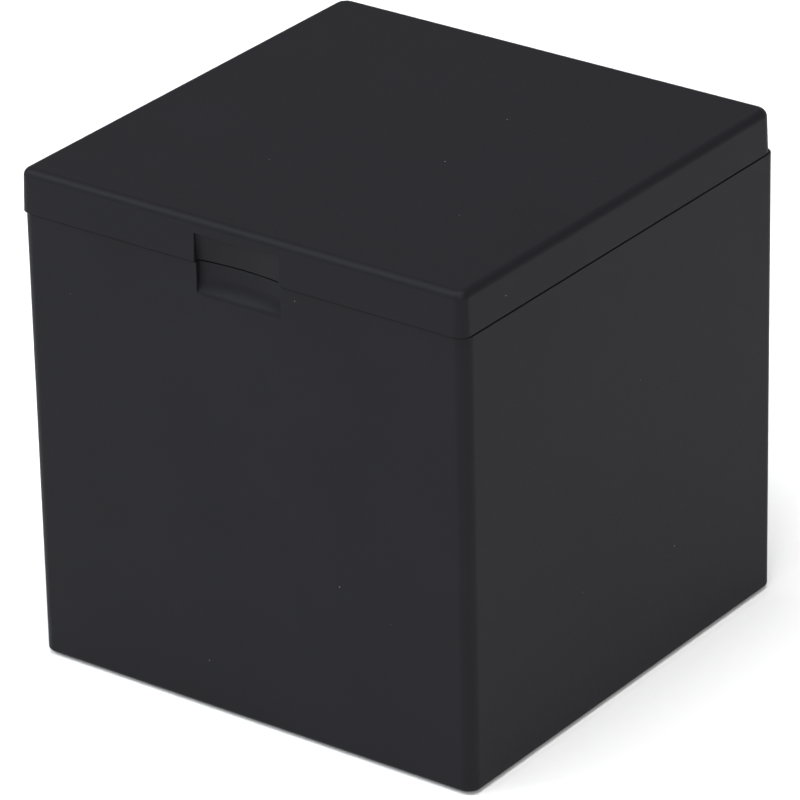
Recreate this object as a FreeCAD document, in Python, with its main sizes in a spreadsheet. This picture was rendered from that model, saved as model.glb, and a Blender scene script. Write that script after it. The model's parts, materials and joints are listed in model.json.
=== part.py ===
import FreeCAD, Part
import math
import os
import re
import Sketcher

# Bench demagnetizer for watches: a cube case with a hinged lid. A round watch bay stands inside a coil,
# and the charging and discharge board lies below it. Millimetres, +Z up, front face towards -Y,
# origin on the floor under the middle of the case.

# Every driving size, by the name of its cell.
SIZES = {
    # case and lid
    "cube_side": 90.0,            # width and depth of the body and of the lid at the seam
    "body_height": 82.0,          # side walls, from their lower edge to the rim
    "seam_gap": 0.3,              # open joint between rim and lid
    "lid_height": 7.7,            # lid side, from its lower edge to the top
    "lid_forward": 0.5,           # the lid stands this much further forward than the body
    "lid_taper": 2.0,             # draft of the lid's sides, degrees
    "foot_proud": 0.6,            # how far the feet lift the case
    "wall": 2.6,                  # body wall
    "lid_wall": 2.4,              # lid side wall
    "lid_top": 2.2,               # lid top panel
    "body_corner": 2.3,           # upright edges of the body
    "lid_corner": 2.0,            # upright edges of the lid, at the front
    "lid_rear_corner": 2.8,       # and at the rear, rounder so that they swing clear of the rim
    "lower_edge": 0.5,            # rounding of the body's lower edge
    "upper_edge": 1.4,            # rounding of the lid's top edge
    # finger recess at the front
    "recess_width": 17.0,
    "recess_side_depth": 0.9,     # depth beside the side walls
    "recess_mid_depth": 1.6,      # depth in the middle, where the back is a shallow hollow
    "recess_lid_height": 5.1,     # part of the recess that is in the lid
    "recess_lid_shallow": 0.65,   # how much shallower it is at its upper end
    "recess_step": 0.15,          # how far the lid's part stands forward of the body's at the seam
    "recess_body_height": 5.7,    # part of the recess that is in the body
    "ramp_rise": 2.3,             # height of the sloping lower end of the recess
    "backing": 1.6,               # extra wall behind the recess
    "backing_width": 21.0,
    "backing_below": 2.6,         # how far the extra wall reaches below the recess
    # corner posts, base plate and feet
    "post_side": 9.0,
    "base_recess": 0.2,           # base plate above the walls' lower edge
    "base_thick": 2.5,
    "base_play": 0.2,             # gap between base plate and walls
    "foot_radius": 6.0,
    "foot_thick": 1.8,
    "foot_offset": 30.5,          # foot centres from the case centre, both ways
    # watch bay
    "deck_drop": 0.8,             # deck below the rim
    "deck_thick": 2.2,
    "deck_play": 0.2,
    "bay_radius": 31.25,
    "bay_wall": 1.5,
    "bay_depth": 44.4,
    "bay_floor": 3.0,
    "flange_reach": 1.85,         # cup flange beyond the cup's wall
    "flange_seat": 0.8,           # thickness of the cup flange, sunk flush in the deck
    "cushion_radius": 30.6,
    "cushion_thick": 10.0,
    "cushion_edge": 3.5,          # rounding of the cushion's upper edge
    # coil
    "bobbin_play": 0.2,           # gap between the bay's wall and the bobbin
    "bobbin_wall": 1.25,
    "bobbin_height": 32.0,
    "flange_radius": 41.0,
    "flange_thick": 1.6,
    "winding_radius": 40.0,
    "retainer_radius": 37.0,
    "retainer_bore": 12.0,
    "retainer_thick": 2.0,
    "retainer_screw_circle": 24.0,
    # main board
    "board_half_width": 32.5,
    "board_front": -37.0,
    "board_rear": 40.4,
    "board_thick": 1.6,
    "board_lift": 4.7,            # standoff height above the base plate
    "standoff_radius": 3.0,
    "board_screw_reach": 28.5,
    "board_screw_front": -33.0,
    "board_screw_rear": 35.0,
    # parts on the board
    "capacitor_radius": 9.0,
    "capacitor_length": 35.0,
    "capacitor_front": -28.0,
    "cell_radius": 9.1,
    "cell_length": 49.5,
    "cell_front": -26.0,
    "cell_middle": 22.0,          # cell and holder centre across the board
    "holder_floor": 1.4,
    "holder_end": 2.0,
    "holder_width": 19.6,
    "holder_height": 16.0,
    "sink_middle": -20.0,         # heat sink and transistor centre across the board
    "sink_width": 20.0,
    "sink_row": 15.0,             # middle of the sink's plate along Y
    "sink_plate": 2.0,
    "sink_height": 17.0,
    "fin_pitch": 3.76,
    "fin_thick": 1.2,
    "fin_depth": 6.0,
    "transistor_width": 10.0,
    "transistor_thick": 4.5,
    "transistor_height": 13.5,
    "transistor_lift": 3.0,       # legs between the board and the transistor
    "leg_pitch": 2.54,
    "core_middle": 1.5,           # transformer centre across the board
    "core_front": 16.0,
    "core_width": 18.0,
    "core_height": 14.0,
    "core_depth": 5.0,
    "core_lift": 1.0,
    "window_reach": 4.25,         # middle of each winding window from the core's middle
    "window_width": 5.0,
    "window_height": 9.0,
    "tape_width": 12.4,
    "tape_depth": 13.0,
    "tape_height": 8.6,
    # rear face: charging inlet, start button and status light
    "inlet_reach": 14.0,          # inlet centre across the rear face
    "socket_width": 8.94,
    "socket_height": 3.2,
    "socket_length": 7.4,
    "socket_sheet": 0.3,
    "seat_width": 12.8,           # sunk seat round the charging inlet
    "seat_height": 6.8,
    "seat_depth": 1.2,
    "inlet_play": 0.4,            # room round the socket in its opening
    "button_reach": -12.0,
    "button_lift": 4.0,           # button and light centre above the board
    "button_radius": 4.0,
    "button_gap": 0.3,
    "button_sunk": 0.2,           # button face below the rear face
    "button_stem": 1.5,           # stem radius
    "stem_front": 39.9,           # front end of the stem, against the switch's plunger
    "light_reach": -2.5,
    "light_radius": 1.0,
    # hinge
    "hinge_inset": 2.1,           # pin axis in from the lid's rear face
    "hinge_lift": 2.3,            # pin axis above the rim
    "hinge_reach": 28.0,          # hinge centres from the middle of the case
    "knuckle_radius": 1.75,
    "knuckle_length": 10.0,
    "knuckle_play": 0.3,          # gap at each end of a knuckle, and around it in its notch
    "pin_radius": 1.0,
    "pin_length": 18.6,
    "pin_fit": 0.05,              # running clearance of the pin in a body knuckle
    "relief_radius": 3.0,         # sweep of the lid's lower rear edge about the pin
    "relief_half_length": 44.2,
    "knuckle_shoulder": 5.0,      # where a knuckle's post meets the wall's slope, below the rim
    "knuckle_foot": 8.5,
    "pin_wall": 1.9,              # lid material in front of the pin axis
    # lid lining, catch and lid switch
    "liner_thick": 1.6,
    "liner_drop": 0.2,            # liner above the lid's lower edge
    "liner_play": 0.2,
    "lid_pad_radius": 29.0,
    "lid_pad_thick": 2.6,
    "liner_screw_reach": 35.5,
    "catch_reach": 26.0,          # catch centres from the middle of the case
    "catch_row": -38.2,           # catches along Y
    "tongue_width": 6.0,
    "tongue_thick": 1.2,
    "tongue_length": 6.7,
    "clip_sheet": 0.4,
    "clip_width": 5.0,
    "clip_half_mouth": 2.2,
    "clip_crest_gap": 0.12,
    "plunger_row": 37.0,          # lid switch plunger along Y
    "plunger_radius": 1.5,
    "plunger_fit": 0.05,
    "plunger_gap": 0.1,           # play between plunger and liner with the lid shut
    "cradle_half": 8.0,           # half width of the lid switch's stirrup
    "cradle_wall": 1.5,
    "cradle_drop": 11.6,          # stirrup below the deck
    "cradle_rear": 39.8,
    "cradle_depth": 6.5,
    "switch_width": 12.8,
    "switch_depth": 5.4,
    "switch_height": 6.3,
    "lead_radius": 0.5,
}

# Levels and faces that several pieces share, written with the cells' names.
SHIFT = "lid_forward / 2"                                     # body centre along Y
LID_CENTRE = "0 - lid_forward / 2"                            # lid centre along Y
HALF = "cube_side / 2"
RIM = "(foot_proud + body_height)"
LID_BOTTOM = "(foot_proud + body_height + seam_gap)"
LID_CEILING = "(foot_proud + body_height + seam_gap + lid_height - lid_top)"
FRONT = "(lid_forward / 2 - cube_side / 2)"                   # outer face of the front wall
REAR = "(lid_forward / 2 + cube_side / 2)"                    # outer face of the rear wall
REAR_INSIDE = "(lid_forward / 2 + cube_side / 2 - wall)"
INSIDE = "(cube_side - 2 * wall)"                             # clear width between the walls
POST = "(cube_side / 2 - wall - post_side / 2)"               # post centre from the case centre
BASE_BOTTOM = "(foot_proud + base_recess)"
BASE_TOP = "(foot_proud + base_recess + base_thick)"
BOARD_BOTTOM = "(foot_proud + base_recess + base_thick + board_lift)"
BOARD_TOP = "(foot_proud + base_recess + base_thick + board_lift + board_thick)"
DECK_TOP = "(foot_proud + body_height - deck_drop)"
DECK_BOTTOM = "(foot_proud + body_height - deck_drop - deck_thick)"
BAY_FLOOR_TOP = "(foot_proud + body_height - deck_drop - bay_depth)"
BAY_UNDERSIDE = "(foot_proud + body_height - deck_drop - bay_depth - bay_floor)"
CUP_FLANGE = "(bay_radius + bay_wall + flange_reach)"
RETAINER_BOTTOM = "(foot_proud + body_height - deck_drop - bay_depth - bay_floor - retainer_thick)"
AXIS_Y = "(cube_side / 2 - lid_forward / 2 - hinge_inset)"
AXIS_Z = "(foot_proud + body_height + hinge_lift)"
LINER_BOTTOM = "(foot_proud + body_height + seam_gap + liner_drop)"
LINER_TOP = "(foot_proud + body_height + seam_gap + liner_drop + liner_thick)"
BUTTON_Z = "(foot_proud + base_recess + base_thick + board_lift + board_thick + button_lift)"
FAR = 200.0                                                   # longer than the whole case

# Screws: shank radius, shank length, head radius, head height, driver recess radius and depth.
CASE_SCREW = (1.2, 12.0, 2.6, 1.4, 1.0, 0.8)
BOARD_SCREW = (1.2, 5.6, 2.3, 1.5, 0.9, 0.8)
RETAINER_SCREW = (1.2, 4.4, 2.3, 1.5, 0.9, 0.8)
LINER_SCREW = (0.9, 3.6, 2.0, 1.0, 0.8, 0.6)
HEAD_ROOM = 0.3                                               # radial room around a sunk screw head
COUNTERSINK = 1.2                                             # depth of the sunk seats in the deck
HOLE_PLAY = 0.2                                               # radial room round a shank in a plain hole
OVERLAP = 0.1                                                 # how far joined blocks run into each other

CAPACITOR_MIDDLES = (-16.6, 2.2)                              # across the board
FIN_COUNT = 6
# Moulded parts on the board: name, centre in X and Y, width, depth and height.
CHIPS = (("controller", -18, 29.5, 7, 7, 1.0), ("charger", 14, 30.5, 5, 4, 1.2),
         ("driver", -6.5, 30, 6, 5, 1.6))
CONNECTOR_HEIGHT = 6.0
COIL_CONNECTOR = (-29.5, 0.0, 4.5, 6.0)
SWITCH_CONNECTOR = (3.5, 33.0, 6.0, 4.5)
LEAD_BEND = 0.8
LEAD_SPREAD = 1.25                                            # half the distance between the two leads

doc = FreeCAD.newDocument("demagnetizer")
sizes = doc.addObject("Spreadsheet::Sheet", "sizes")
pieces = []


def fill_sheet():
    """Write each size as text into its own cell, named by its alias."""
    for row, (alias, value) in enumerate(SIZES.items(), start=1):
        sizes.set(f"A{row}", alias)
        sizes.set(f"B{row}", str(value))
        sizes.setAlias(f"B{row}", alias)
    doc.recompute()


def expression(text):
    """Turn the cells' names in a text into references to the sheet."""
    return re.sub(r"[a-z_]+", lambda word: f"sizes.{word[0]}" if word[0] in SIZES else word[0], str(text))


def number(text):
    """The present value of a text, for a sketch's first guess or a shape made from Part."""
    return float(sizes.evalExpression(expression(text)))


def minus(text):
    return f"(0 - ({text}))"


def plus(*texts):
    return "(" + " + ".join(f"({text})" for text in texts) + ")"


# ---- building blocks ----

def new_body(label):
    """An empty body that may hold several separate solids."""
    body = doc.addObject("PartDesign::Body", label)
    body.Label = label
    body.AllowCompound = True
    body.Placement = FreeCAD.Placement()
    pieces.append(body)
    return body


def new_sketch(body, name, role, level=0):
    """A sketch on one of the body's origin planes, moved along its normal to a level."""
    plane = [feature for feature in body.Origin.OriginFeatures if feature.Role == role][0]
    sketch = body.newObject("Sketcher::SketchObject", name)
    sketch.AttachmentSupport = [(plane, "")]
    sketch.MapMode = "FlatFace"
    sketch.setExpression("AttachmentOffset.Base.z", expression(level))
    return sketch


def pin_point(sketch, geometry, point, x, y):
    """Hold one point of the geometry at a place worked out from the sheet."""
    for kind, text in (("DistanceX", x), ("DistanceY", y)):
        constraint = sketch.addConstraint(Sketcher.Constraint(kind, -1, 1, geometry, point, number(text)))
        sketch.setExpression(f"Constraints[{constraint}]", expression(text))


def outline(sketch, corners):
    """A closed outline of straight edges through the corners."""
    places = [FreeCAD.Vector(number(x), number(y), 0) for x, y in corners]
    first = sketch.GeometryCount
    for start, end in zip(places, places[1:] + places[:1]):
        sketch.addGeometry(Part.LineSegment(start, end), False)
    for index, (x, y) in enumerate(corners):
        previous = first + (index - 1) % len(corners)
        sketch.addConstraint(Sketcher.Constraint("Coincident", previous, 2, first + index, 1))
        pin_point(sketch, first + index, 1, x, y)


def rectangle(sketch, x, y, width, height):
    """A rectangle about its centre."""
    left, right = plus(x, minus(f"({width}) / 2")), plus(x, f"({width}) / 2")
    low, high = plus(y, minus(f"({height}) / 2")), plus(y, f"({height}) / 2")
    outline(sketch, [(left, low), (right, low), (right, high), (left, high)])


def circle(sketch, x, y, radius):
    centre = FreeCAD.Vector(number(x), number(y), 0)
    index = sketch.addGeometry(Part.Circle(centre, FreeCAD.Vector(0, 0, 1), number(radius)), False)
    pin_point(sketch, index, 3, x, y)
    constraint = sketch.addConstraint(Sketcher.Constraint("Radius", index, number(radius)))
    sketch.setExpression(f"Constraints[{constraint}]", expression(radius))


def bay_outline(sketch, half_width, side, middle, front):
    """The recess in plan: straight sides and a back that is a shallow arc, deepest in the middle."""
    half, near, side_y, mid_y = number(half_width), number(front), number(side), number(middle)
    corners = [FreeCAD.Vector(-half, side_y, 0), FreeCAD.Vector(-half, near, 0),
               FreeCAD.Vector(half, near, 0), FreeCAD.Vector(half, side_y, 0)]
    for start, end in zip(corners, corners[1:]):
        sketch.addGeometry(Part.LineSegment(start, end), False)
    sketch.addGeometry(Part.Arc(corners[3], FreeCAD.Vector(0, mid_y, 0), corners[0]), False)
    sketch.addConstraint(Sketcher.Constraint("Coincident", 0, 2, 1, 1))
    sketch.addConstraint(Sketcher.Constraint("Coincident", 1, 2, 2, 1))
    sketch.addConstraint(Sketcher.Constraint("Coincident", 2, 2, 3, 1))
    sketch.addConstraint(Sketcher.Constraint("Coincident", 3, 2, 0, 1))
    pin_point(sketch, 0, 1, minus(half_width), side)
    pin_point(sketch, 0, 2, minus(half_width), front)
    pin_point(sketch, 1, 2, half_width, front)
    pin_point(sketch, 2, 2, half_width, side)
    hollow = plus(middle, minus(side))
    radius = f"(({half_width}) * ({half_width}) + {hollow} * {hollow}) / (2 * {hollow})"
    constraint = sketch.addConstraint(Sketcher.Constraint("Radius", 3, number(radius)))
    sketch.setExpression(f"Constraints[{constraint}]", expression(radius))


def finish_feature(body, feature, adds):
    """Recompute, and stop if the feature didn't change the body the way it should."""
    before = body.Shape.Volume if body.Tip and not body.Shape.isNull() else 0.0
    body.Tip = feature
    doc.recompute()
    after = body.Shape.Volume
    if (after <= before) if adds else (after >= before):
        raise RuntimeError(f"{body.Label}: {feature.Label} leaves the volume at {after:.3f}")
    return feature


def pad(body, sketch, length, backwards=False, taper=None):
    feature = body.newObject("PartDesign::Pad", sketch.Name + "_pad")
    feature.Profile = sketch
    feature.Reversed = backwards
    feature.setExpression("Length", expression(length))
    if taper is not None:
        feature.setExpression("TaperAngle", expression(taper))
    return finish_feature(body, feature, adds=True)


def pocket(body, sketch, length, backwards=False):
    """Cut along the sketch's normal away from it, or the other way when backwards."""
    feature = body.newObject("PartDesign::Pocket", sketch.Name + "_pocket")
    feature.Profile = sketch
    feature.Reversed = not backwards
    feature.setExpression("Length", expression(length))
    return finish_feature(body, feature, adds=False)


def round_edges(body, name, radius, chosen):
    """Round the edges of the body's present shape that the test picks."""
    base = body.Tip
    names = [f"Edge{i}" for i, edge in enumerate(base.Shape.Edges, start=1) if chosen(edge)]
    feature = body.newObject("PartDesign::Fillet", name)
    feature.Base = (base, names)
    feature.setExpression("Radius", expression(radius))
    body.Tip = feature
    doc.recompute()
    return feature


def is_upright(edge):
    """True for the edges between two side faces of a drafted or straight block."""
    box = edge.BoundBox
    return box.ZLength > 5 * max(box.XLength, box.YLength, 0.01)


def lies_at(height):
    """A test for edges that lie in one level plane."""
    return lambda edge: edge.BoundBox.ZLength < 1e-4 and abs(edge.BoundBox.ZMin - height) < 1e-4


def four_corners(x, y_low, y_high):
    return [(minus(x), y_low), (x, y_low), (x, y_high), (minus(x), y_high)]


def about_centre(reach):
    """Four places at the same distance from the case centre, both ways."""
    return four_corners(reach, plus(SHIFT, minus(reach)), plus(SHIFT, reach))


def discs(body, name, places, radius, level, height):
    """A round pad of one height at each place."""
    sketch = new_sketch(body, name, "XY_Plane", level)
    for x, y in places:
        circle(sketch, x, y, radius)
    return pad(body, sketch, height)


def holes(body, name, places, radius, level, height):
    """A round upward pocket of one depth at each place."""
    sketch = new_sketch(body, name, "XY_Plane", level)
    for x, y in places:
        circle(sketch, x, y, radius)
    return pocket(body, sketch, height)


def block(body, name, x, y, width, depth, level, height):
    """A box on a level plane, about its centre in plan."""
    sketch = new_sketch(body, name, "XY_Plane", level)
    rectangle(sketch, x, y, width, depth)
    return pad(body, sketch, height)


def slot(body, name, x, y, width, depth, level, height):
    """A box cut upwards from a level plane, about its centre in plan."""
    sketch = new_sketch(body, name, "XY_Plane", level)
    rectangle(sketch, x, y, width, depth)
    return pocket(body, sketch, height)


def rod_along_y(body, name, x, z, radius, near, length):
    """A round rod along Y that starts at a given place and runs rearwards."""
    sketch = new_sketch(body, name, "XZ_Plane", minus(near))
    circle(sketch, x, z, radius)
    return pad(body, sketch, length, backwards=True)


def screws(label, places, size, seat, upwards):
    """Pan head screws as separate solids: shanks one way from the seat, heads the other."""
    shank_radius, shank_length, head_radius, head_height, drive_radius, drive_depth = size
    body = new_body(label)
    if upwards:
        shank_level, head_level = seat, plus(seat, -head_height)
        drive_level = head_level
    else:
        shank_level, head_level = plus(seat, -shank_length), seat
        drive_level = plus(seat, head_height - drive_depth)
    discs(body, label + "_shank", places, shank_radius, shank_level, shank_length)
    discs(body, label + "_head", places, head_radius, head_level, head_height)
    head_edge = number(head_level) if upwards else number(plus(head_level, head_height))
    holes(body, label + "_drive", places, drive_radius, drive_level, drive_depth)
    round_edges(body, label + "_edge", 0.3,
                lambda edge: lies_at(head_edge)(edge) and edge.Curve.Radius > head_radius - 0.01)
    return body


# ---- case ----

def make_body_shell():
    body = new_body("body_shell")
    outer = new_sketch(body, "shell_outer", "XY_Plane", "foot_proud")
    rectangle(outer, 0, SHIFT, "cube_side", "cube_side")
    pad(body, outer, "body_height")
    round_edges(body, "shell_corners", "body_corner", is_upright)
    round_edges(body, "shell_lower_edge", "lower_edge", lies_at(SIZES["foot_proud"]))
    slot(body, "shell_inside", 0, SHIFT, INSIDE, INSIDE, 0, FAR)
    add_posts(body)
    cut_hinge_relief(body)
    add_body_knuckles(body)
    cut_body_recess(body)
    cut_rear_openings(body)
    return body


def add_posts(body):
    """Four corner posts take the base screws from below and the deck screws from above."""
    posts = new_sketch(body, "shell_posts", "XY_Plane", BASE_TOP)
    for x, y in about_centre(POST):
        rectangle(posts, x, y, "post_side", "post_side")
    pad(body, posts, plus(DECK_BOTTOM, minus(BASE_TOP)))
    radius, length = CASE_SCREW[0], CASE_SCREW[1]
    holes(body, "post_holes_low", about_centre(POST), radius, BASE_TOP, length)
    holes(body, "post_holes_high", about_centre(POST), radius, plus(DECK_BOTTOM, -length), length + 1)


def cut_hinge_relief(body):
    """A shallow groove along the rear rim lets the lid's lower rear edge swing past."""
    groove = new_sketch(body, "shell_relief", "YZ_Plane", minus("relief_half_length"))
    circle(groove, AXIS_Y, AXIS_Z, "relief_radius")
    pocket(body, groove, "2 * relief_half_length")


def knuckle_sketch(body, name, centre):
    """Side view of a knuckle: a round eye on a post that grows out of the rear wall."""
    sketch = new_sketch(body, name, "YZ_Plane", plus(centre, "0 - knuckle_length / 2"))
    left, right = plus(AXIS_Y, "0 - knuckle_radius"), plus(AXIS_Y, "knuckle_radius")
    shoulder, foot = plus(RIM, "0 - knuckle_shoulder"), plus(RIM, "0 - knuckle_foot")
    corners = [(left, AXIS_Z), (left, shoulder), (AXIS_Y, foot), (right, foot), (right, AXIS_Z)]
    places = [FreeCAD.Vector(number(y), number(z), 0) for y, z in corners]
    for start, end in zip(places, places[1:]):
        sketch.addGeometry(Part.LineSegment(start, end), False)
    crown = FreeCAD.Vector(number(AXIS_Y), number(plus(AXIS_Z, "knuckle_radius")), 0)
    sketch.addGeometry(Part.Arc(places[-1], crown, places[0]), False)
    last = len(places) - 1
    for index in range(last):
        pin_point(sketch, index, 1, *corners[index])
    for index in range(last - 1):
        sketch.addConstraint(Sketcher.Constraint("Coincident", index, 2, index + 1, 1))
    sketch.addConstraint(Sketcher.Constraint("Coincident", last, 2, 0, 1))
    pin_point(sketch, last, 1, *corners[last])
    sketch.addConstraint(Sketcher.Constraint("Tangent", last - 1, 2, last, 1))
    return sketch


def add_body_knuckles(body):
    for side, centre in (("left", minus("hinge_reach")), ("right", "hinge_reach")):
        pad(body, knuckle_sketch(body, f"knuckle_{side}", centre), "knuckle_length")
    bore = new_sketch(body, "knuckle_bore", "YZ_Plane", minus("relief_half_length"))
    circle(bore, AXIS_Y, AXIS_Z, "pin_radius + pin_fit")
    pocket(body, bore, "2 * relief_half_length")


def cut_body_recess(body):
    """The lower half of the finger recess, with a thicker wall behind it and a ramp at its lower end."""
    height = "recess_body_height + backing_below"
    block(body, "recess_backing", 0, plus(FRONT, "wall + backing / 2", -OVERLAP), "backing_width",
          plus("backing", 2 * OVERLAP), plus(RIM, minus(height)), height)
    cut = new_sketch(body, "recess_cut", "XY_Plane", plus(RIM, "0 - recess_body_height"))
    bay_outline(cut, "recess_width / 2", plus(FRONT, "recess_side_depth"),
                plus(FRONT, "recess_mid_depth"), plus(FRONT, -1))
    pocket(body, cut, "recess_body_height + 1")
    ramp = new_sketch(body, "recess_ramp", "YZ_Plane", "0 - recess_width / 2")
    low = plus(RIM, "0 - recess_body_height")
    deep = plus(FRONT, "recess_mid_depth")
    outline(ramp, [(FRONT, low), (deep, low), (deep, plus(low, "ramp_rise"))])
    pad(body, ramp, "recess_width")


def cut_rear_openings(body):
    """Charging inlet with a sunk seat for the plug, button hole and light hole in the rear wall."""
    socket_z = plus(BOARD_TOP, "socket_height / 2")
    seat = new_sketch(body, "inlet_seat", "XZ_Plane", minus(REAR))
    rectangle(seat, "inlet_reach", socket_z, "seat_width", "seat_height")
    pocket(body, seat, "seat_depth")
    opening = new_sketch(body, "inlet_opening", "XZ_Plane", minus(REAR))
    rectangle(opening, "inlet_reach", socket_z, "socket_width + 2 * inlet_play",
              "socket_height + 2 * inlet_play")
    pocket(body, opening, "wall + 1")
    ports = new_sketch(body, "rear_holes", "XZ_Plane", minus(REAR))
    circle(ports, "button_reach", BUTTON_Z, "button_radius + button_gap")
    circle(ports, "light_reach", BUTTON_Z, "light_radius")
    pocket(body, ports, "wall + 1")


def make_base_plate():
    body = new_body("base_plate")
    side = plus(INSIDE, "0 - 2 * base_play")
    block(body, "base_slab", 0, SHIFT, side, side, BASE_BOTTOM, "base_thick")
    round_edges(body, "base_corners", 0.8, is_upright_short)
    discs(body, "base_standoffs", board_screw_places(), "standoff_radius", BASE_TOP, "board_lift")
    holes(body, "standoff_bores", board_screw_places(), BOARD_SCREW[0], plus(BOARD_BOTTOM, -4), 5)
    holes(body, "foot_seats", about_centre("foot_offset"), "foot_radius + 0.2", 0, "foot_thick")
    head_radius, head_height = CASE_SCREW[2], CASE_SCREW[3]
    holes(body, "base_screw_seats", about_centre(POST), head_radius + HEAD_ROOM, 0,
          plus(BASE_BOTTOM, head_height + 0.1))
    holes(body, "base_screw_holes", about_centre(POST), CASE_SCREW[0] + HOLE_PLAY, 0, FAR)
    return body


def is_upright_short(edge):
    """True for the upright edges of a thin plate."""
    return edge.BoundBox.ZLength > 1.0 and edge.BoundBox.XLength < 1e-4 and edge.BoundBox.YLength < 1e-4


def make_foot_pads():
    body = new_body("foot_pads")
    discs(body, "foot_discs", about_centre("foot_offset"), "foot_radius", 0, "foot_thick")
    round_edges(body, "foot_edges", 0.3, lies_at(0))
    return body


# ---- watch bay and coil ----

def make_bay_cup():
    """Round cup for the watch. Its flange lies in the deck, and the coil goes round it from below."""
    body = new_body("bay_cup")
    centre = [(0, SHIFT)]
    discs(body, "cup_outside", centre, "bay_radius + bay_wall", BAY_UNDERSIDE,
          plus(DECK_TOP, minus(BAY_UNDERSIDE)))
    discs(body, "cup_flange", centre, CUP_FLANGE, plus(DECK_TOP, "0 - flange_seat"), "flange_seat")
    holes(body, "cup_inside", centre, "bay_radius", BAY_FLOOR_TOP, FAR)
    mouth = number(DECK_TOP)
    round_edges(body, "bay_mouth", 0.8,
                lambda edge: lies_at(mouth)(edge) and edge.Curve.Radius < number("bay_radius") + 0.01)
    holes(body, "retainer_bores", retainer_screw_places(), RETAINER_SCREW[0], BAY_UNDERSIDE, 2.4)
    return body


def make_deck_plate():
    """Plate on the corner posts that closes the case round the bay."""
    body = new_body("deck_plate")
    side = plus(INSIDE, "0 - 2 * deck_play")
    block(body, "deck_slab", 0, SHIFT, side, side, DECK_BOTTOM, "deck_thick")
    holes(body, "deck_opening", [(0, SHIFT)], "bay_radius + bay_wall + 0.05", DECK_BOTTOM, FAR)
    holes(body, "flange_recess", [(0, SHIFT)], plus(CUP_FLANGE, 0.1),
          plus(DECK_TOP, "0 - flange_seat"), FAR)
    cut_deck_edges(body)
    add_switch_cradle(body)
    head_radius = CASE_SCREW[2]
    holes(body, "deck_screw_holes", about_centre(POST), CASE_SCREW[0] + HOLE_PLAY, DECK_BOTTOM, FAR)
    holes(body, "deck_screw_seats", about_centre(POST), head_radius + HEAD_ROOM,
          plus(DECK_TOP, -COUNTERSINK), FAR)
    holes(body, "plunger_guide", [(0, "plunger_row")], "plunger_radius + plunger_fit", DECK_BOTTOM, FAR)
    catches = new_sketch(body, "catch_slots", "XY_Plane", DECK_BOTTOM)
    for centre in (minus("catch_reach"), "catch_reach"):
        rectangle(catches, centre, "catch_row", "clip_width + 1.6", "2 * clip_half_mouth + 0.1")
    pocket(body, catches, FAR)
    return body


def cut_deck_edges(body):
    """The deck makes way for the wall behind the recess and for the hinge knuckles."""
    edges = new_sketch(body, "deck_notches", "XY_Plane", DECK_BOTTOM)
    backing_inside = plus(FRONT, "wall + backing + deck_play")
    rectangle(edges, 0, plus(backing_inside, "0 - wall"), "backing_width + 2 * deck_play", "2 * wall")
    knuckle_inside = plus(AXIS_Y, "0 - knuckle_radius - deck_play")
    depth = plus(REAR, minus(knuckle_inside))
    width = "knuckle_length + 2 * knuckle_play"
    for centre in (minus("hinge_reach"), "hinge_reach"):
        rectangle(edges, centre, plus(knuckle_inside, f"{depth} / 2"), width, depth)
    pocket(body, edges, FAR)


def add_switch_cradle(body):
    """A stirrup under the deck that holds the lid switch."""
    cradle = new_sketch(body, "switch_cradle", "XZ_Plane", "0 - cradle_rear")
    low, high = plus(DECK_BOTTOM, "0 - cradle_drop"), plus(DECK_BOTTOM, OVERLAP)
    floor = plus(low, "cradle_wall")
    outer, inner = "cradle_half", "(cradle_half - cradle_wall)"
    outline(cradle, [(minus(outer), low), (outer, low), (outer, high), (inner, high), (inner, floor),
                     (minus(inner), floor), (minus(inner), high), (minus(outer), high)])
    pad(body, cradle, "cradle_depth")


def make_bay_cushion():
    body = new_body("bay_cushion")
    discs(body, "cushion_disc", [(0, SHIFT)], "cushion_radius", BAY_FLOOR_TOP, "cushion_thick")
    round_edges(body, "cushion_rim", "cushion_edge", lies_at(number(plus(BAY_FLOOR_TOP, "cushion_thick"))))
    return body


def make_coil_bobbin():
    body = new_body("coil_bobbin")
    inner = "(bay_radius + bay_wall + bobbin_play)"
    centre = [(0, SHIFT)]
    discs(body, "bobbin_barrel", centre, inner + " + bobbin_wall", BAY_UNDERSIDE, "bobbin_height")
    discs(body, "bobbin_low_flange", centre, "flange_radius", BAY_UNDERSIDE, "flange_thick")
    discs(body, "bobbin_high_flange", centre, "flange_radius",
          plus(BAY_UNDERSIDE, "bobbin_height - flange_thick"), "flange_thick")
    holes(body, "bobbin_bore", centre, inner, 0, FAR)
    return body


def make_copper_winding():
    body = new_body("copper_winding")
    inner = "bay_radius + bay_wall + bobbin_play + bobbin_wall"
    level = plus(BAY_UNDERSIDE, "flange_thick")
    sketch = new_sketch(body, "winding_ring", "XY_Plane", level)
    circle(sketch, 0, SHIFT, "winding_radius")
    circle(sketch, 0, SHIFT, inner)
    pad(body, sketch, "bobbin_height - 2 * flange_thick")
    return body


def retainer_screw_places():
    """Three places on a circle, 120 degrees apart."""
    return [(f"retainer_screw_circle * cos({angle})", plus(SHIFT, f"retainer_screw_circle * sin({angle})"))
            for angle in (90, 210, 330)]


def make_coil_retainer():
    """A ring screwed under the bay that holds the bobbin up."""
    body = new_body("coil_retainer")
    ring = new_sketch(body, "retainer_ring", "XY_Plane", RETAINER_BOTTOM)
    circle(ring, 0, SHIFT, "retainer_radius")
    circle(ring, 0, SHIFT, "retainer_bore")
    pad(body, ring, "retainer_thick")
    holes(body, "retainer_holes", retainer_screw_places(), RETAINER_SCREW[0] + HOLE_PLAY, 0, FAR)
    return body


# ---- board and what is on it ----

def board_screw_places():
    return four_corners("board_screw_reach", "board_screw_front", "board_screw_rear")


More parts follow.
